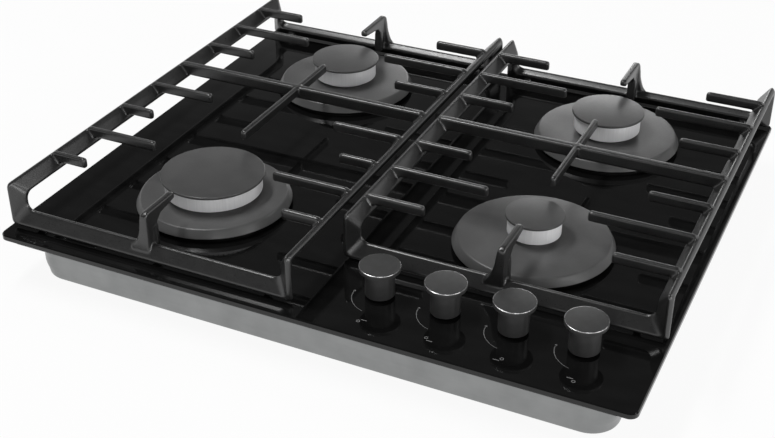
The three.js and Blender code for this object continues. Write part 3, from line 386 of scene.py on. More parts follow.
# %% Make the ring aluminium finish
ring_metal = new_finish("ring_aluminium", grey(0.88), 0.4, 0.2)
streaks = grain(ring_metal, 0.03, round_axis=True, detail=5)
vary_colour(ring_metal, streaks, (0.84, 0.84, 0.85, 1), (0.92, 0.92, 0.93, 1))
vary_roughness(ring_metal, streaks, 0.3, 0.46)
relief(ring_metal, streaks, 0.012)
print("ring aluminium finish ready")

# %% [markdown]
# ## Steel sheet, castings and small parts
#
# The tray is pressed from zinc-coated sheet: even, pale grey and slightly satin,
# with a rolling grain along its length. The hidden gas parts are raw castings,
# turned brass, drawn tube and moulded plastic. They share one loop, since each
# differs only in its tones, its gloss and the size of its grain.

# %% Make the sheet steel finish
sheet_steel = new_finish("pressed_steel", grey(0.27), 0.34, 1.0)
rolling = grain(sheet_steel, 3.0, (18, 18, 1), detail=4)
spangle = grain(sheet_steel, 30, detail=3)
vary_colour(sheet_steel, spangle, (0.245, 0.25, 0.25, 1), (0.29, 0.295, 0.295, 1))
vary_roughness(sheet_steel, rolling, 0.30, 0.42)
relief(sheet_steel, rolling, 0.012)
print("sheet steel finish ready")

# %% Make the finishes of the small parts
# slot: dark tone, light tone, roughness from and to, metallic, grain in mm, relief in mm
SMALL_FINISHES = {
    "cast_aluminium": ((0.34, 0.34, 0.35), (0.47, 0.47, 0.48), 0.45, 0.65, 1.0, 1.2, 0.05),
    "brass": ((0.55, 0.38, 0.12), (0.72, 0.52, 0.20), 0.25, 0.42, 1.0, 3.0, 0.01),
    "ceramic": ((0.74, 0.72, 0.66), (0.84, 0.82, 0.77), 0.30, 0.48, 0.0, 4.0, 0.01),
    "probe_steel": ((0.48, 0.48, 0.49), (0.62, 0.62, 0.63), 0.22, 0.40, 1.0, 2.0, 0.01),
    "foam": ((0.010, 0.010, 0.010), (0.024, 0.024, 0.024), 0.85, 0.98, 0.0, 0.9, 0.12),
    "white_plastic": ((0.62, 0.61, 0.57), (0.72, 0.71, 0.67), 0.42, 0.58, 0.0, 1.6, 0.02),
    "grey_plastic": ((0.085, 0.088, 0.092), (0.125, 0.128, 0.132), 0.45, 0.6, 0.0, 1.6, 0.02),
}
for slot, (dark, light, low, high, metallic, size, depth) in SMALL_FINISHES.items():
    small = new_finish(slot, (*light, 1), (low + high) / 2, metallic)
    texture = grain(small, size, detail=3)
    vary_colour(small, texture, (*dark, 1), (*light, 1))
    vary_roughness(small, texture, low, high)
    relief(small, texture, depth)
print(len(SMALL_FINISHES), "small finishes ready")

# %% [markdown]
# ## Knob plastic and its bright edge
#
# The knobs are moulded in a dark plastic with a fine spark-eroded texture, which
# scatters light into a soft satin. A thin edge round the head is turned bright, a
# narrow ring of metal finish that catches the light all the way round.

# %% Make the knob finishes
knob_skin = new_finish("knob_plastic", grey(0.033), 0.42)
spark = grain(knob_skin, 0.35, detail=2)
vary_colour(knob_skin, grain(knob_skin, 6, detail=2), grey(0.028), grey(0.038))
vary_roughness(knob_skin, spark, 0.36, 0.48)
relief(knob_skin, spark, 0.012)
bright_edge = new_finish("knob_edge", grey(0.45), 0.25, 1.0)
turning = grain(bright_edge, 0.05, round_axis=True, detail=3)
vary_colour(bright_edge, turning, grey(0.36), grey(0.55))
vary_roughness(bright_edge, turning, 0.2, 0.34)
print("knob finishes ready")

# %% [markdown]
# ## Ink of the dial marks
#
# The small marks beside the knobs are ceramic ink fired onto the glass: a soft
# grey, matt against the gloss, and slightly uneven where the screen left less ink.

# %% Make the ink finish
ink = new_finish("dial_ink", grey(0.16), 0.6)
screen = grain(ink, 0.5, detail=2)
vary_colour(ink, screen, grey(0.11), grey(0.2))
vary_roughness(ink, screen, 0.5, 0.7)
relief(ink, screen, 0.004)
print(len(finishes), "finishes in all")

# %% [markdown]
# ## Dressing the CAD nodes that stay
#
# Cups, jets, taps, pipes and the wiring pieces have the right shape already. They
# stay as they are and get their finish from the material slot that the record
# gives each node. A small bevel modifier rounds the edges of the block-shaped ones
# without touching their mesh, because no real edge is razor sharp.

# %% Dress every node from its slot
for node, thing in frame["nodes"].items():
    thing.data.materials.clear()
    thing.data.materials.append(finishes[slot_of[node]])
BLOCKY = ("gas_tap_", "ignition_unit", "terminal_block", "gas_inlet", "burner_bridge_")
EDGE_OF_SMALL_PARTS = 0.5
EDGE_FROM_ANGLE = 50  # degrees between two faces from which their edge is rounded
for node, thing in frame["nodes"].items():
    if node.startswith(BLOCKY):
        softened = thing.modifiers.new("soft_edges", "BEVEL")
        softened.width = EDGE_OF_SMALL_PARTS * MM
        softened.segments = 2
        softened.limit_method = "ANGLE"
        softened.angle_limit = math.radians(EDGE_FROM_ANGLE)
print("dressed", len(frame["nodes"]), "nodes")

# %% [markdown]
# ## Helpers that make the new pieces
#
# Three ways of making cover this object: turning an outline on a lathe, stacking
# outlines into a skin, and casting overlapping bars into one body. Blender has
# modifiers for the first two, Screw and Skin, but building the rings of points in
# code gives exact control over where each edge lies.

# %% Put a piece in place of its CAD node
def new_piece(name, points, faces, centre=(0, 0, 0)):
    """An object from points in millimetres, with its origin at centre."""
    mesh = bpy.data.meshes.new(name)
    mesh.from_pydata([[value * MM for value in point] for point in points], [], faces)
    mesh.validate()
    piece = bpy.data.objects.new(name, mesh)
    piece.location = [value * MM for value in centre]
    bpy.context.scene.collection.objects.link(piece)
    return piece


def settle(piece):
    """Replaces the piece's modifiers by the mesh that they give."""
    shape = bpy.data.meshes.new_from_object(piece.evaluated_get(bpy.context.evaluated_depsgraph_get()))
    piece.modifiers.clear()
    piece.data = shape
    return piece


def shade(piece, angle):
    """Smooth shading, with a crease wherever faces meet more sharply than angle."""
    shape = piece.data
    shape.polygons.foreach_set("use_smooth", [True] * len(shape.polygons))
    shape.set_sharp_from_angle(angle=math.radians(angle))
    return piece


def stand_for(piece, node):
    """The piece takes over a CAD node's body, its material slot and its place in the picture."""
    if not piece.data.materials:
        piece.data.materials.append(finishes[slot_of[node]])
    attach(piece, body_of[node])
    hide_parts(node)
    low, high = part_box(node)
    size = " x ".join(f"{side:.3f}" for side in high - low)
    print(f"{piece.name}: {len(piece.data.polygons)} faces for {node}, {size} m")


# %% Round the corners of an outline
def soften(corners, steps=4):
    """Replaces each corner (x, y, cut) of a closed outline by a curve that starts cut away from it."""
    outline = []
    for i, (x, y, cut) in enumerate(corners):
        here = Vector((x, y))
        if cut == 0:
            outline.append(here)
            continue
        before = Vector(corners[i - 1][:2]) - here
        after = Vector(corners[(i + 1) % len(corners)][:2]) - here
        start = here + before.normalized() * min(cut, before.length / 2)
        end = here + after.normalized() * min(cut, after.length / 2)
        for step in range(steps + 1):
            t = step / steps
            outline.append(start * (1 - t) ** 2 + here * 2 * t * (1 - t) + end * t**2)
    return [(p.x, p.y) for p in outline]


def rounded_rectangle(width, depth, radius, steps=10):
    """Points round a rectangle with round corners, anticlockwise from the right side."""
    points = []
    for corner, (sx, sy) in enumerate(((1, 1), (-1, 1), (-1, -1), (1, -1))):
        for step in range(steps + 1):
            angle = (corner + step / steps) * math.pi / 2
            points.append((
                sx * (width / 2 - radius) + radius * math.cos(angle),
                sy * (depth / 2 - radius) + radius * math.sin(angle),
            ))
    return points


# %% Turn an outline on a lathe
ON_AXIS = 1e-6


def lathe(name, outline, centre, angles, height_at=None):
    """Turns a closed outline of (radius, height) about the upright axis through centre.

    angles is a number of even steps or a list of angles. height_at(outline index, step)
    may lower points, which cuts notches. Points on the axis become one point."""
    if isinstance(angles, int):
        angles = [2 * math.pi * i / angles for i in range(angles)]
    points, index = [], {}
    for j, angle in enumerate(angles):
        for i, (radius, height) in enumerate(outline):
            if radius < ON_AXIS:
                if (i, 0) in index:
                    index[i, j] = index[i, 0]
                    continue
                index[i, 0] = index[i, j] = len(points)
            else:
                index[i, j] = len(points)
            drop = height_at(i, j) if height_at else 0
            points.append((radius * math.cos(angle), radius * math.sin(angle), height - drop))
    faces = []
    for j in range(len(angles)):
        k = (j + 1) % len(angles)
        for i in range(len(outline)):
            n = (i + 1) % len(outline)
            corners = []
            for corner in (index[i, j], index[i, k], index[n, k], index[n, j]):
                if corner not in corners:
                    corners.append(corner)
            if len(corners) > 2:
                faces.append(corners)
    return face_outwards(new_piece(name, points, faces, centre))


def face_outwards(piece):
    """Makes all faces of a closed mesh point out."""
    shape = bmesh.new()
    shape.from_mesh(piece.data)
    bmesh.ops.recalc_face_normals(shape, faces=shape.faces)
    shape.to_mesh(piece.data)
    shape.free()
    return piece


# %% Stack outlines into a skin
def skin(rings, closed_loop=False):
    """Points and faces over rings of equally many points; the ends are filled unless it is a loop."""
    count = len(rings[0])
    points = [point for ring in rings for point in ring]
    faces = []
    for j in range(len(rings) if closed_loop else len(rings) - 1):
        a, b = j * count, (j + 1) % len(rings) * count
        faces += [(a + i, a + (i + 1) % count, b + (i + 1) % count, b + i) for i in range(count)]
    if not closed_loop:
        faces += [tuple(reversed(range(count))), tuple(range(len(points) - count, len(points)))]
    return points, faces


# %% [markdown]
# ## The glass top
#
# The top is one plate of glass with ground edges, round corners and a hole for
# each burner and each knob's spindle. A flat curve is the neatest way to make a
# plate with holes: its outline and holes are splines, Extrude gives the
# thickness, and the curve's own bevel grinds every edge at once.

# %% Cut the glass
GLASS_WIDTH, GLASS_DEPTH, GLASS_THICKNESS = 600, 520, 6
GLASS_CORNER = 8
GLASS_FACET = 1.0
GLASS_TOP = round(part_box("glass_top")[1].z / MM, 3)
GLASS_HOLE_MARGIN = 9
SPINDLE_HOLE = 5
SAME_POINT = 1e-6

BURNERS = {
    # burner: centre, cap radius, ring radius, height of the cap's top above the glass
    "front_left": ((-150, -127), 49.3, 46.3, 33.8),
    "back_left": ((-150, 150), 36.5, 33.4, 36),
    "back_right": ((150, 150), 36.5, 33.4, 36),
    "front_right": ((150, -71), 27, 24.5, 35),
}
FIRST_KNOB_X, KNOB_PITCH, KNOB_Y = 58, 60.3, -199
KNOBS = {name: (FIRST_KNOB_X + KNOB_PITCH * i, KNOB_Y) for i, name in enumerate(BURNERS)}


def circle(centre, radius, steps):
    angles = [2 * math.pi * i / steps for i in range(steps)]
    return [(centre[0] + radius * math.cos(a), centre[1] + radius * math.sin(a)) for a in angles]


def plate_with_holes(name, outlines, bottom, top, facet):
    """A flat plate between two heights; the first outline is its edge and the others are holes."""
    drawing = bpy.data.curves.new(name + "_drawing", "CURVE")
    drawing.dimensions = "2D"
    drawing.fill_mode = "BOTH"
    drawing.extrude = ((top - bottom) / 2 - facet) * MM
    drawing.bevel_depth = facet * MM
    drawing.bevel_resolution = 0
    drawing.offset = -facet * MM
    for outline in outlines:
        spline = drawing.splines.new("POLY")
        spline.points.add(len(outline) - 1)
        for point, (x, y) in zip(spline.points, outline):
            point.co = (x * MM, y * MM, 0, 1)
        spline.use_cyclic_u = True
    holder = bpy.data.objects.new(name, drawing)
    holder.location.z = (top + bottom) / 2 * MM
    bpy.context.scene.collection.objects.link(holder)
    bpy.context.view_layer.update()
    shape = bpy.data.meshes.new_from_object(holder.evaluated_get(bpy.context.evaluated_depsgraph_get()))
    shape.transform(holder.matrix_world)
    bpy.data.objects.remove(holder)
    piece = bpy.data.objects.new(name, shape)
    bpy.context.scene.collection.objects.link(piece)
    solid = bmesh.new()
    solid.from_mesh(shape)
    bmesh.ops.remove_doubles(solid, verts=solid.verts, dist=SAME_POINT)
    bmesh.ops.recalc_face_normals(solid, faces=solid.faces)
    solid.to_mesh(shape)
    solid.free()
    return piece


glass_outlines = [rounded_rectangle(GLASS_WIDTH, GLASS_DEPTH, GLASS_CORNER)]
glass_outlines += [circle(c, ring + GLASS_HOLE_MARGIN, steps=72) for c, _, ring, _ in BURNERS.values()]
glass_outlines += [circle(c, SPINDLE_HOLE, steps=24) for c in KNOBS.values()]
GLASS_UNDER = GLASS_TOP - GLASS_THICKNESS
glass_plate = plate_with_holes("glass_plate", glass_outlines, GLASS_UNDER, GLASS_TOP, GLASS_FACET)
stand_for(shade(glass_plate, 20), "glass_top")

# %% [markdown]
# ## The tray
#
# Under the glass hangs a tray, deep-drawn from one sheet of steel. Drawing leaves
# round corners that tighten towards the rim and a soft edge round the floor. The
# piece is a skin over rounded rectangles, outside going up and inside coming
# down, so that it has the real thickness of sheet. Two holes in the back wall are
# cut with a Boolean, which is simpler than modelling round them.

# %% Draw the tray
TRAY_WIDTH, TRAY_DEPTH, TRAY_Y = 556, 468, -6
TRAY_HEIGHT = 43.2
TRAY_SHEET = 1.0
TRAY_FLOOR_RADIUS = 2.5
TRAY_FLOOR_CORNER, TRAY_TOP_CORNER = 26, 20
TRAY_EVEN_FROM = 0.35  # share of the height above which the corners stay the same
FLOOR_STEPS, WALL_STEPS = 5, 4


def tray_ring(inset, height, corner):
    width, depth = TRAY_WIDTH - 2 * inset, TRAY_DEPTH - 2 * inset
    outline = rounded_rectangle(width, depth, corner - inset, steps=12)
    return [(x, y + TRAY_Y, height) for x, y in outline]


def tray_side(inset):
    """Rings from the middle of the floor's edge to the rim, inset by the sheet for the inside."""
    radius = TRAY_FLOOR_RADIUS - inset / 2
    rings = []
    for step in range(FLOOR_STEPS + 1):
        angle = step / FLOOR_STEPS * math.pi / 2
        pulled = inset + radius * (1 - math.sin(angle))
        rings.append(tray_ring(pulled, inset + radius * (1 - math.cos(angle)), TRAY_FLOOR_CORNER))
    for step in range(WALL_STEPS + 1):
        share = step / WALL_STEPS
        eased = share * share * (3 - 2 * share)
        corner = TRAY_FLOOR_CORNER + (TRAY_TOP_CORNER - TRAY_FLOOR_CORNER) * eased
        height = inset + radius + (TRAY_HEIGHT * TRAY_EVEN_FROM - inset - radius) * share
        rings.append(tray_ring(inset, height, corner))
    rings.append(tray_ring(inset, TRAY_HEIGHT, TRAY_TOP_CORNER))
    return rings


tray_pan = face_outwards(new_piece("steel_tray", *skin(tray_side(0) + tray_side(TRAY_SHEET)[::-1])))


def drill(piece, x, y, z, radius, length):
    """Cuts a round hole along Y through the piece, centred at (x, y, z)."""
    ends = [
        [(x + px, y + side * length / 2, z + pz) for px, pz in circle((0, 0), radius, steps=40)]
        for side in (-1, 1)
    ]
    bit = face_outwards(new_piece("drill_bit", *skin(ends)))
    cut = piece.modifiers.new("hole", "BOOLEAN")
    cut.operation, cut.solver, cut.object = "DIFFERENCE", "EXACT", bit
    bpy.context.view_layer.update()
    settle(piece)
    bpy.data.objects.remove(bit)


TRAY_BACK = TRAY_Y + TRAY_DEPTH / 2
RAIL_HEIGHT = 21
INLET_HOLE, GLAND_HOLE = (232, 10.8), (70, 7.3)  # place along X, radius
DRILL_LENGTH = 8 * TRAY_SHEET
for x, radius in (INLET_HOLE, GLAND_HOLE):
    drill(tray_pan, x, TRAY_BACK, RAIL_HEIGHT, radius, DRILL_LENGTH)
stand_for(shade(tray_pan, 30), "lower_tray")

# %% [markdown]
# ## The pan supports
#
# Each pan support is one iron casting: a flat bar bent into a closed loop, low
# along the front and back and high along the sides, with fingers that carry the
# pan. The back rail is thicker along its upper edge, which shows as a light strip.
# On a casting nothing meets at a sharp corner. The bars are therefore made as
# overlapping closed bodies, melted into one with a voxel Remesh and smoothed a
# little, which fills every joint with a small fillet as molten iron does. Sculpting
# or bevelled booleans could do it too, but are hard to keep clean where so many
# bars cross.

# %% Sizes of the pan supports
GRATE_WIDTH = 279.5
GRATE_BACK = 246
BAR_WIDTH, BAR_THICKNESS, BAR_ROUND = 16.5, 6.2, 1.9
BACK_RAIL_THICKNESS = 10.5  # along the upper edge of the back rail
SIDE_BAR_WIDTH = 12.5
POST_LEAN, RAIL_LEAN, SIDE_LEAN = 45, 53, 30  # degrees that the bar leans inwards
HIGH_BEND, LOW_BEND = (4, 13), (8, 3.5)  # radii inside and outside the bends of the posts
BAR_REACH = 8.45  # half the bar's height as it leans in a rail
LOW_RAIL = GLASS_TOP + 9.65
HIGH_RAIL = GLASS_TOP + 39.3
PAN_PLANE = GLASS_TOP + 49.5
FINGER_HEIGHT, FINGER_THICKNESS = 10, 5.5
FINGER_EDGE = 1.4
TIP_CUT = 1.5
ROOT_DROP, ROOT_OVERLAP = 3, 3.5
FINGER_PITCH = 55.3
CROSS_BAR_Y, CROSS_BAR_WIDTH, CROSS_BAR_HEIGHT = 41, 8, 13
END_POST_THICKNESS, END_POST_DEPTH, END_POST_SETBACK, END_POST_FILLET = 6.8, 17, 3.3, 6
END_POST_TIP = 6.5
RIB_FOOT, RIB_TOP, RIB_DEPTH = 9.5, 8.6, 7
# the flare's (reach, height) from the rail up
FLARE = ((15, 0), (15, 5), (12, 8.5), (9.5, 11.5), (7.8, 16), (6, 22), (4.6, 33), (3.4, 38.5))
FRONT_REACH, BACK_REACH = 46, 54.5
SPINE_BACK = 101
FOOT_RADIUS, FOOT_INSET, FOOT_SETBACK = 4, 20, 3
SEAT_GAP = 0.3
FOOT_BOTTOM, FOOT_TOP = GLASS_TOP + SEAT_GAP, LOW_RAIL - 3

BACK_ROWS = [(1, 55), (2, 93), (3, 55)]
# pan support: left side bar, front rail, spine's front end, fingers as (row, length)
GRATES = {
    "left": (-289.5, -238, -71, BACK_ROWS + [(-1, 70), (-2, 35.5), (-3, 75.5), (-4, 35.5)]),
    "right": (11.3, -157, -29, BACK_ROWS + [(-1, 55), (-2, 93), (-3, 55)]),
}


# %% Bend the loop
def bar_outline(width, upper):
    """The bar's section; its upper edge can be thicker than the lower one."""
    outline = rounded_rectangle(width, BAR_THICKNESS, BAR_ROUND, steps=4)
    return [(u, v * (1 + (upper / BAR_THICKNESS - 1) * (u / width + 0.5))) for u, v in outline]


def bent_loop(left, right, front, back, steps=10):
    """Rings of the loop: at each of its eight bends the bar turns, and its width and lean change.

    Each point of a ring turns about a hub of its own, so that the inside and the
    outside of a bend have the radii that the pattern maker gave them."""
    low, high = LOW_RAIL, HIGH_RAIL
    corners = [
        (right, front, low), (right, front, high), (right, back, high), (right, back, low),
        (left, back, low), (left, back, high), (left, front, high), (left, front, low),
    ]
    corners = [Vector(c) for c in corners]
    middle = sum(corners, Vector()) / len(corners)
    rings = []
    for i, corner in enumerate(corners):
        before = (corner - corners[i - 1]).normalized()
        after = (corners[(i + 1) % 8] - corner).normalized()
        on_side = corner.z == HIGH_RAIL
        run_width, run_lean = (SIDE_BAR_WIDTH, SIDE_LEAN) if on_side else (BAR_WIDTH, RAIL_LEAN)
        run_upper = BACK_RAIL_THICKNESS if corner.y == back and not on_side else BAR_THICKNESS
        inside, outside = HIGH_BEND if on_side else LOW_BEND
        side = before.cross(after)
        hand = -1 if side.dot(middle - corner) < 0 else 1
        for step in range(steps + 1):
            turn = step / steps * math.pi / 2
            inward = after * math.cos(turn) - before * math.sin(turn)
            share = step / steps if abs(after.z) < 0.5 else 1 - step / steps
            lean = math.radians(POST_LEAN + (run_lean - POST_LEAN) * share)
            upper = BAR_THICKNESS + (run_upper - BAR_THICKNESS) * share
            ring = []
            for u, v in bar_outline(BAR_WIDTH + (run_width - BAR_WIDTH) * share, upper):
                inset = u * math.sin(lean) - hand * v * math.cos(lean)
                across = u * math.cos(lean) + hand * v * math.sin(lean)
                radius = outside + (inside - outside) * (inset / BAR_REACH + 1) / 2
                hub = corner + (after - before) * (inset + radius)
                ring.append(hub - inward * radius + side * hand * across)
            rings.append(ring)
    return rings


# %% Shape one upright bar
def upright_bar(outline, thickness, x, y, along_y=False, facing=1):
    """A closed bar from its outline of (along, height), with every edge bevelled.

    facing -1 turns it round to run the other way."""
    bar = bmesh.new()
    corners = []
    for along, height in outline:
        along, across = along * facing, -thickness / 2
        place = (x + across, y + along, height) if along_y else (x + along, y + across, height)
        corners.append(bar.verts.new([value * MM for value in place]))
    side = bar.faces.new(corners)
    grown = bmesh.ops.extrude_face_region(bar, geom=[side])["geom"]
    shift = Vector((thickness * MM, 0, 0)) if along_y else Vector((0, thickness * MM, 0))
    moved = [part for part in grown if isinstance(part, bmesh.types.BMVert)]
    bmesh.ops.translate(bar, vec=shift, verts=moved)
    bmesh.ops.recalc_face_normals(bar, faces=bar.faces)
    edges = bar.edges[:]
    bmesh.ops.bevel(bar, geom=edges, offset=FINGER_EDGE * MM, segments=2, profile=0.5, affect="EDGES")
    shape = bpy.data.meshes.new("bar")
    bar.to_mesh(shape)
    bar.free()
    return shape


def finger_outline(start, tip, root_cut):
    """A finger from start to tip, cut back at its root and a little at its tip."""
    under = PAN_PLANE - FINGER_HEIGHT
    return [
        (start, under), (tip, under), (tip, PAN_PLANE - TIP_CUT), (tip - TIP_CUT, PAN_PLANE),
        (start + root_cut, PAN_PLANE), (start, PAN_PLANE - root_cut),
    ]


# %% Shape the post in the middle of a low rail
def end_post(x, rail_y, facing, reach):
    """The bars of the post: its bent finger, a rib up its inner side and a flare on one side."""
    outer = -END_POST_SETBACK
    inner, tip = outer + END_POST_DEPTH, outer + reach
    under = PAN_PLANE - FINGER_HEIGHT
    rib_top = under - END_POST_FILLET
    bent = [
        (outer, LOW_RAIL), (inner, LOW_RAIL), (inner, rib_top), (inner + END_POST_FILLET, under),
        (tip, PAN_PLANE - END_POST_TIP), (tip, PAN_PLANE - TIP_CUT), (tip - TIP_CUT, PAN_PLANE),
        (outer + ROOT_DROP, PAN_PLANE), (outer, PAN_PLANE - ROOT_DROP),
    ]
    rib = [
        (-RIB_FOOT / 2, LOW_RAIL), (RIB_FOOT / 2, LOW_RAIL),
        (RIB_TOP / 2, rib_top), (-RIB_TOP / 2, rib_top),
    ]
    steps = [(0, FLARE[0][1]), *FLARE, (0, FLARE[-1][1])]
    flare = [(sideways, LOW_RAIL + height) for sideways, height in steps]
    return [
        upright_bar(bent, END_POST_THICKNESS, x, rail_y, along_y=True, facing=facing),
        upright_bar(rib, RIB_DEPTH, x, rail_y + facing * (inner - RIB_DEPTH / 2)),
        upright_bar(flare, END_POST_THICKNESS, x, rail_y, facing=-facing),
    ]


# %% Cast each pan support
VOXEL = 1.0
SMOOTHING, SMOOTHING_PASSES = 0.5, 5
KEPT_FACES = 0.3


def cast_grate(side):
    left, front, spine_front, rows = GRATES[side]
    right = left + GRATE_WIDTH
    middle = (left + right) / 2
    bars = []
    for row, length in rows:
        y = CROSS_BAR_Y + row * FINGER_PITCH
        outline = finger_outline(-ROOT_OVERLAP, length, ROOT_DROP)
        for x, facing in ((left, 1), (right, -1)):
            bars.append(upright_bar(outline, FINGER_THICKNESS, x, y, facing=facing))
    start, end, under = -ROOT_OVERLAP, GRATE_WIDTH + ROOT_OVERLAP, PAN_PLANE - CROSS_BAR_HEIGHT
    cross = [
        (start, under), (end, under), (end, PAN_PLANE - ROOT_DROP), (end - ROOT_DROP, PAN_PLANE),
        (start + ROOT_DROP, PAN_PLANE), (start, PAN_PLANE - ROOT_DROP),
    ]
    bars.append(upright_bar(cross, CROSS_BAR_WIDTH, left, CROSS_BAR_Y))
    spine = finger_outline(spine_front, SPINE_BACK, TIP_CUT)
    bars.append(upright_bar(spine, FINGER_THICKNESS, middle, 0, along_y=True))
    bars += end_post(middle, front, 1, FRONT_REACH) + end_post(middle, GRATE_BACK, -1, BACK_REACH)
    mould = bmesh.new()
    for bar in bars:
        mould.from_mesh(bar)
        bpy.data.meshes.remove(bar)
    solids = [skin(bent_loop(left, right, front, GRATE_BACK), closed_loop=True)]
    for x in (left + FOOT_INSET, right - FOOT_INSET):
        for y in (front + FOOT_SETBACK, GRATE_BACK - FOOT_SETBACK):
            round_foot = circle((x, y), FOOT_RADIUS, steps=24)
            solids.append(skin([[(px, py, z) for px, py in round_foot] for z in (FOOT_BOTTOM, FOOT_TOP)]))
    for points, faces in solids:
        holder = face_outwards(new_piece("holder", points, faces))
        mould.from_mesh(holder.data)
        bpy.data.objects.remove(holder)
    shape = bpy.data.meshes.new(f"grate_casting_{side}")
    mould.to_mesh(shape)
    mould.free()
    casting = bpy.data.objects.new(f"grate_casting_{side}", shape)
    bpy.context.scene.collection.objects.link(casting)
    melt = casting.modifiers.new("melt", "REMESH")
    melt.mode, melt.voxel_size = "VOXEL", VOXEL * MM
    soften_skin = casting.modifiers.new("soften", "SMOOTH")
    soften_skin.factor, soften_skin.iterations = SMOOTHING, SMOOTHING_PASSES
    thin_out = casting.modifiers.new("thin_out", "DECIMATE")
    thin_out.ratio = KEPT_FACES
    bpy.context.view_layer.update()
    settle(casting)
    return shade(casting, 60)


for side in GRATES:
    stand_for(cast_grate(side), f"pan_support_{side}")

# %% [markdown]
# ## Base plates
#
# Under each burner lies a round enamelled plate. Its flat top turns over a soft
# edge into a sloping flange and stops short of the glass, which leaves a dark
# line all round. One outline turned on the lathe gives all of it.

# %% Turn the base plates
PLATE_TOP_RADIUS, PLATE_RADIUS, PLATE_FOOT_RADIUS = 69.5, 74, 66
PLATE_HEIGHT, PLATE_RIM = 12.7, 4.5
PLATE_SHEET = 1.5
THROAT_EYE = 13.3


def plate_outline():
    top, rim, foot = GLASS_TOP + PLATE_HEIGHT, GLASS_TOP + PLATE_RIM, GLASS_TOP + SEAT_GAP
    foot_inside = PLATE_FOOT_RADIUS - PLATE_SHEET
    return soften([
        (THROAT_EYE, top - PLATE_SHEET, 0), (PLATE_TOP_RADIUS - PLATE_SHEET, top - PLATE_SHEET, 0.5),
        (foot_inside, rim + PLATE_SHEET, 0.5), (foot_inside, foot, 0.2),
        (PLATE_FOOT_RADIUS, foot, 0.3), (PLATE_FOOT_RADIUS, rim, 0.3), (PLATE_RADIUS, rim, 0.9),
        (PLATE_TOP_RADIUS, top, 1.6), (THROAT_EYE, top, 0.4),
    ])


for name, (centre, *_) in BURNERS.items():
    plate = lathe(f"burner_plate_{name}", plate_outline(), (*centre, 0), angles=128)
    stand_for(shade(plate, 30), f"base_plate_{name}")
print("plates of", 2 * PLATE_RADIUS, "mm")

# %% [markdown]
# ## Flame rings
#
# The flame ring stands on a narrower dark foot and carries the cap. Gas leaves
# through a row of small ports that are milled across its upper edge. Cutting them
# with a hundred Booleans would be slow. The lathe can do it instead: at the angles
# of each port it lowers the points of the ring's top, which leaves clean notches.

# %% Turn the flame rings
CAP_THICKNESS = 2.6
RING_SKIRT, RING_FOOT_INSET, RING_WALL, RING_DECK = 3.5, 6, 4, 2
THROAT_RADIUS, THROAT_WALL, THROAT_DROP = 11, 2, 4
PORT_PITCH, PORT_WIDTH, PORT_DEPTH = 4.6, 1.0, 1.1
PORT_SIDE = 0.04  # how far a port's side slopes, so that its corners stay sharp
PORT_RIM = 0.6  # points this near the top of the ring belong to its upper edge


def port_angles(radius):
    """Angles round the ring, four for each port, and which of them lie in the port."""
    count = round(2 * math.pi * radius / PORT_PITCH)
    lip, wall = PORT_WIDTH / 2 + PORT_SIDE, PORT_WIDTH / 2
    angles, lowered = [], []
    for i in range(count):
        start = 2 * math.pi * i / count
        for offset, low in ((-lip, False), (-wall, True), (wall, True), (lip, False)):
            angles.append(start + offset / radius)
            lowered.append(low)
    return angles, lowered


def ring_outline(ring_radius, cap_top):
    seat = GLASS_TOP + PLATE_HEIGHT + SEAT_GAP
    bottom, throat = seat + RING_SKIRT, GLASS_TOP - THROAT_DROP
    top = GLASS_TOP + cap_top - CAP_THICKNESS - SEAT_GAP
    foot, inner = ring_radius - RING_FOOT_INSET, ring_radius - RING_WALL
    neck, deck = THROAT_RADIUS + THROAT_WALL, bottom + RING_DECK
    return soften([
        (THROAT_RADIUS, throat, 0), (neck, throat, 0.4), (neck, seat, 0), (foot, seat, 0.5),
        (foot, bottom, 0), (ring_radius, bottom, 0.9), (ring_radius, top, 0.5),
        (inner, top, 0.4), (inner, deck, 0.8), (THROAT_RADIUS, deck, 1.2),
    ], steps=3)


for name, (centre, _, ring_radius, cap_top) in BURNERS.items():
    outline = ring_outline(ring_radius, cap_top)
    top = GLASS_TOP + cap_top - CAP_THICKNESS - SEAT_GAP
    angles, lowered = port_angles(ring_radius)

    def port(i, j):
        return PORT_DEPTH if lowered[j] and outline[i][1] > top - PORT_RIM else 0

    ring = lathe(f"ring_{name}", outline, (*centre, 0), angles, port)
    stand_for(shade(ring, 30), f"flame_ring_{name}")
    print(len(angles) // 4, "flame ports in", name)

# %% [markdown]
# ## Burner caps
#
# A cap is a thin enamelled disc that lies loose on its ring and reaches a little
# beyond it. A shallow spigot below keeps it centred. Its edge is rounded above
# and below, which gives the fine light line that runs round it.

# %% Turn the caps
CAP_EDGE = 0.9
CAP_SPIGOT, CAP_SPIGOT_GAP = 3, 1

for name, (centre, cap_radius, ring_radius, cap_top) in BURNERS.items():
    top = GLASS_TOP + cap_top
    bottom = top - CAP_THICKNESS
    spigot = ring_radius - RING_WALL - CAP_SPIGOT_GAP
    outline = soften([
        (0, bottom - CAP_SPIGOT, 0), (spigot, bottom - CAP_SPIGOT, 0.6), (spigot, bottom, 0),
        (cap_radius, bottom, CAP_EDGE), (cap_radius, top, CAP_EDGE), (0, top, 0),
    ])
    cap = lathe(f"cap_{name}", outline, (*centre, 0), angles=112)
    stand_for(shade(cap, 30), f"burner_cap_{name}")

# %% [markdown]
# ## Knobs
#
# Each knob is a stem with a wider, flat head. A narrow groove under the head
# makes the dark line between the two, and the edge of the head is turned bright.
# The bright edge is a second material on the faces of that edge alone.

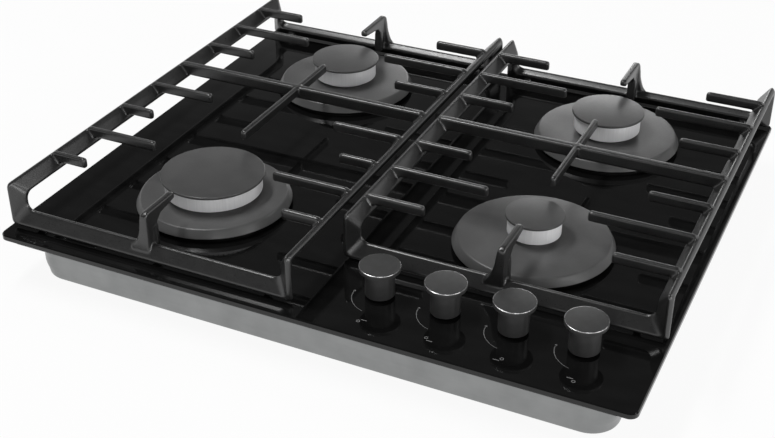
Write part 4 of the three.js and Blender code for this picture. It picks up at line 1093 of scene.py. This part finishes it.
# %% Turn the knobs
KNOB_TOP, KNOB_HEAD_RADIUS, KNOB_HEAD = 30.7, 18, 4
KNOB_STEM_RADIUS, KNOB_GROOVE, KNOB_LIFT = 13, 0.9, 2.3
KNOB_BORE, KNOB_ROOF = 3.3, 2
KNOB_BRIGHT = 0.6
BRIGHT_WIDTH = 0.7
BELOW_BRIGHT, UNDER_TOP = 0.05, 0.01  # slack below the bright edge and under the flat top

for name, centre in KNOBS.items():
    bottom, top = GLASS_TOP + KNOB_LIFT, GLASS_TOP + KNOB_TOP
    neck = top - KNOB_HEAD
    shoulder, groove_radius = neck - KNOB_GROOVE, KNOB_STEM_RADIUS - KNOB_GROOVE
    outline = soften([
        (KNOB_BORE, bottom, 0), (KNOB_STEM_RADIUS, bottom, 0.6), (KNOB_STEM_RADIUS, shoulder, 0.4),
        (groove_radius, shoulder, 0), (groove_radius, neck, 0),
        (KNOB_HEAD_RADIUS, neck, 0.5), (KNOB_HEAD_RADIUS, top, KNOB_BRIGHT), (0, top, 0),
        (0, neck - KNOB_ROOF, 0), (KNOB_BORE, neck - KNOB_ROOF, 0),
    ])
    knob = lathe(f"dial_{name}", outline, (*centre, 0), angles=96)
    for finish in (knob_skin, bright_edge):
        knob.data.materials.append(finish)
    for face in knob.data.polygons:
        spot = face.center / MM
        near_top = top - KNOB_BRIGHT - BELOW_BRIGHT < spot.z < top - UNDER_TOP
        on_edge = math.hypot(spot.x, spot.y) > KNOB_HEAD_RADIUS - BRIGHT_WIDTH
        face.material_index = 1 if near_top and on_edge else 0
    stand_for(shade(knob, 24), f"knob_{name}")

# %% [markdown]
# ## Dial marks on the glass
#
# Beside each knob the glass carries a dot for the closed position, an arc that
# swells towards the full flame, and a small sign for which burner it feeds. They
# could be painted with a mask in the glass finish. Made as very thin flat shapes
# instead, they keep crisp edges at any distance and survive an export.

# %% Print the dial marks
INK_HEIGHT = 0.04
DOT_PLACE, DOT_RADIUS = (-22.4, -3.1), 1.1
ARC_FROM, ARC_TO = 188, 262  # degrees round the knob
ARC_RADIUS = (22.8, 27.5)
ARC_WIDTH = (0.75, 0.32)
SIGN_PLACE = (2.2, -40)
SIGN_RING = (1.7, 1.05)
SIGN_SPREAD = (2.6, 1.5)
SIGN_LINE = (5.5, 0.8)
SIGN_LINE_ROUND = SIGN_LINE[1] / 2.2


def flat_shape(outline):
    """A thin printed shape over the glass, as points and faces."""
    return skin([[(x, y, GLASS_TOP + z) for x, y in outline] for z in (0, INK_HEIGHT)])


def flat_ring(centre, outer, inner, steps=28):
    """A printed ring: outer and inner circles joined above and below."""
    rings = [
        [(x, y, GLASS_TOP + z) for x, y in circle(centre, radius, steps)]
        for radius, z in ((outer, 0), (outer, INK_HEIGHT), (inner, INK_HEIGHT), (inner, 0))
    ]
    return skin(rings, closed_loop=True)


def arc_outline(centre, steps=24):
    """The arc grows away from the knob and thins towards its end."""
    outer, inner = [], []
    for step in range(steps + 1):
        share = step / steps
        angle = math.radians(ARC_FROM + (ARC_TO - ARC_FROM) * share)
        radius = ARC_RADIUS[0] + (ARC_RADIUS[1] - ARC_RADIUS[0]) * share
        half = (ARC_WIDTH[0] + (ARC_WIDTH[1] - ARC_WIDTH[0]) * share) / 2
        for reach, points in ((radius + half, outer), (radius - half, inner)):
            points.append((centre[0] + reach * math.cos(angle), centre[1] + reach * math.sin(angle)))
    return outer + inner[::-1]


for name, (x, y) in KNOBS.items():
    across = -1 if "left" in name else 1
    back = 1 if "back" in name else -1
    sign = (x + SIGN_PLACE[0], y + SIGN_PLACE[1])
    burner_ring = (sign[0] + across * SIGN_SPREAD[0], sign[1] + back * SIGN_SPREAD[1])
    line = rounded_rectangle(*SIGN_LINE, SIGN_LINE_ROUND, steps=3)
    line_centre = (sign[0] - across * SIGN_SPREAD[0] / 2, sign[1] - back * SIGN_SPREAD[1])
    line = [(px + line_centre[0], py + line_centre[1]) for px, py in line]
    shapes = [
        flat_shape(circle((x + DOT_PLACE[0], y + DOT_PLACE[1]), DOT_RADIUS, steps=24)),
        flat_shape(arc_outline((x, y))),
        flat_ring(burner_ring, *SIGN_RING),
        flat_shape(line),
    ]
    points, faces = [], []
    for more_points, more_faces in shapes:
        faces += [[i + len(points) for i in face] for face in more_faces]
        points += more_points
    marks = face_outwards(new_piece(f"dial_marks_{name}", points, faces))
    marks.data.materials.append(ink)
    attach(marks, "hob")
print("dial marks printed for", len(KNOBS), "knobs")
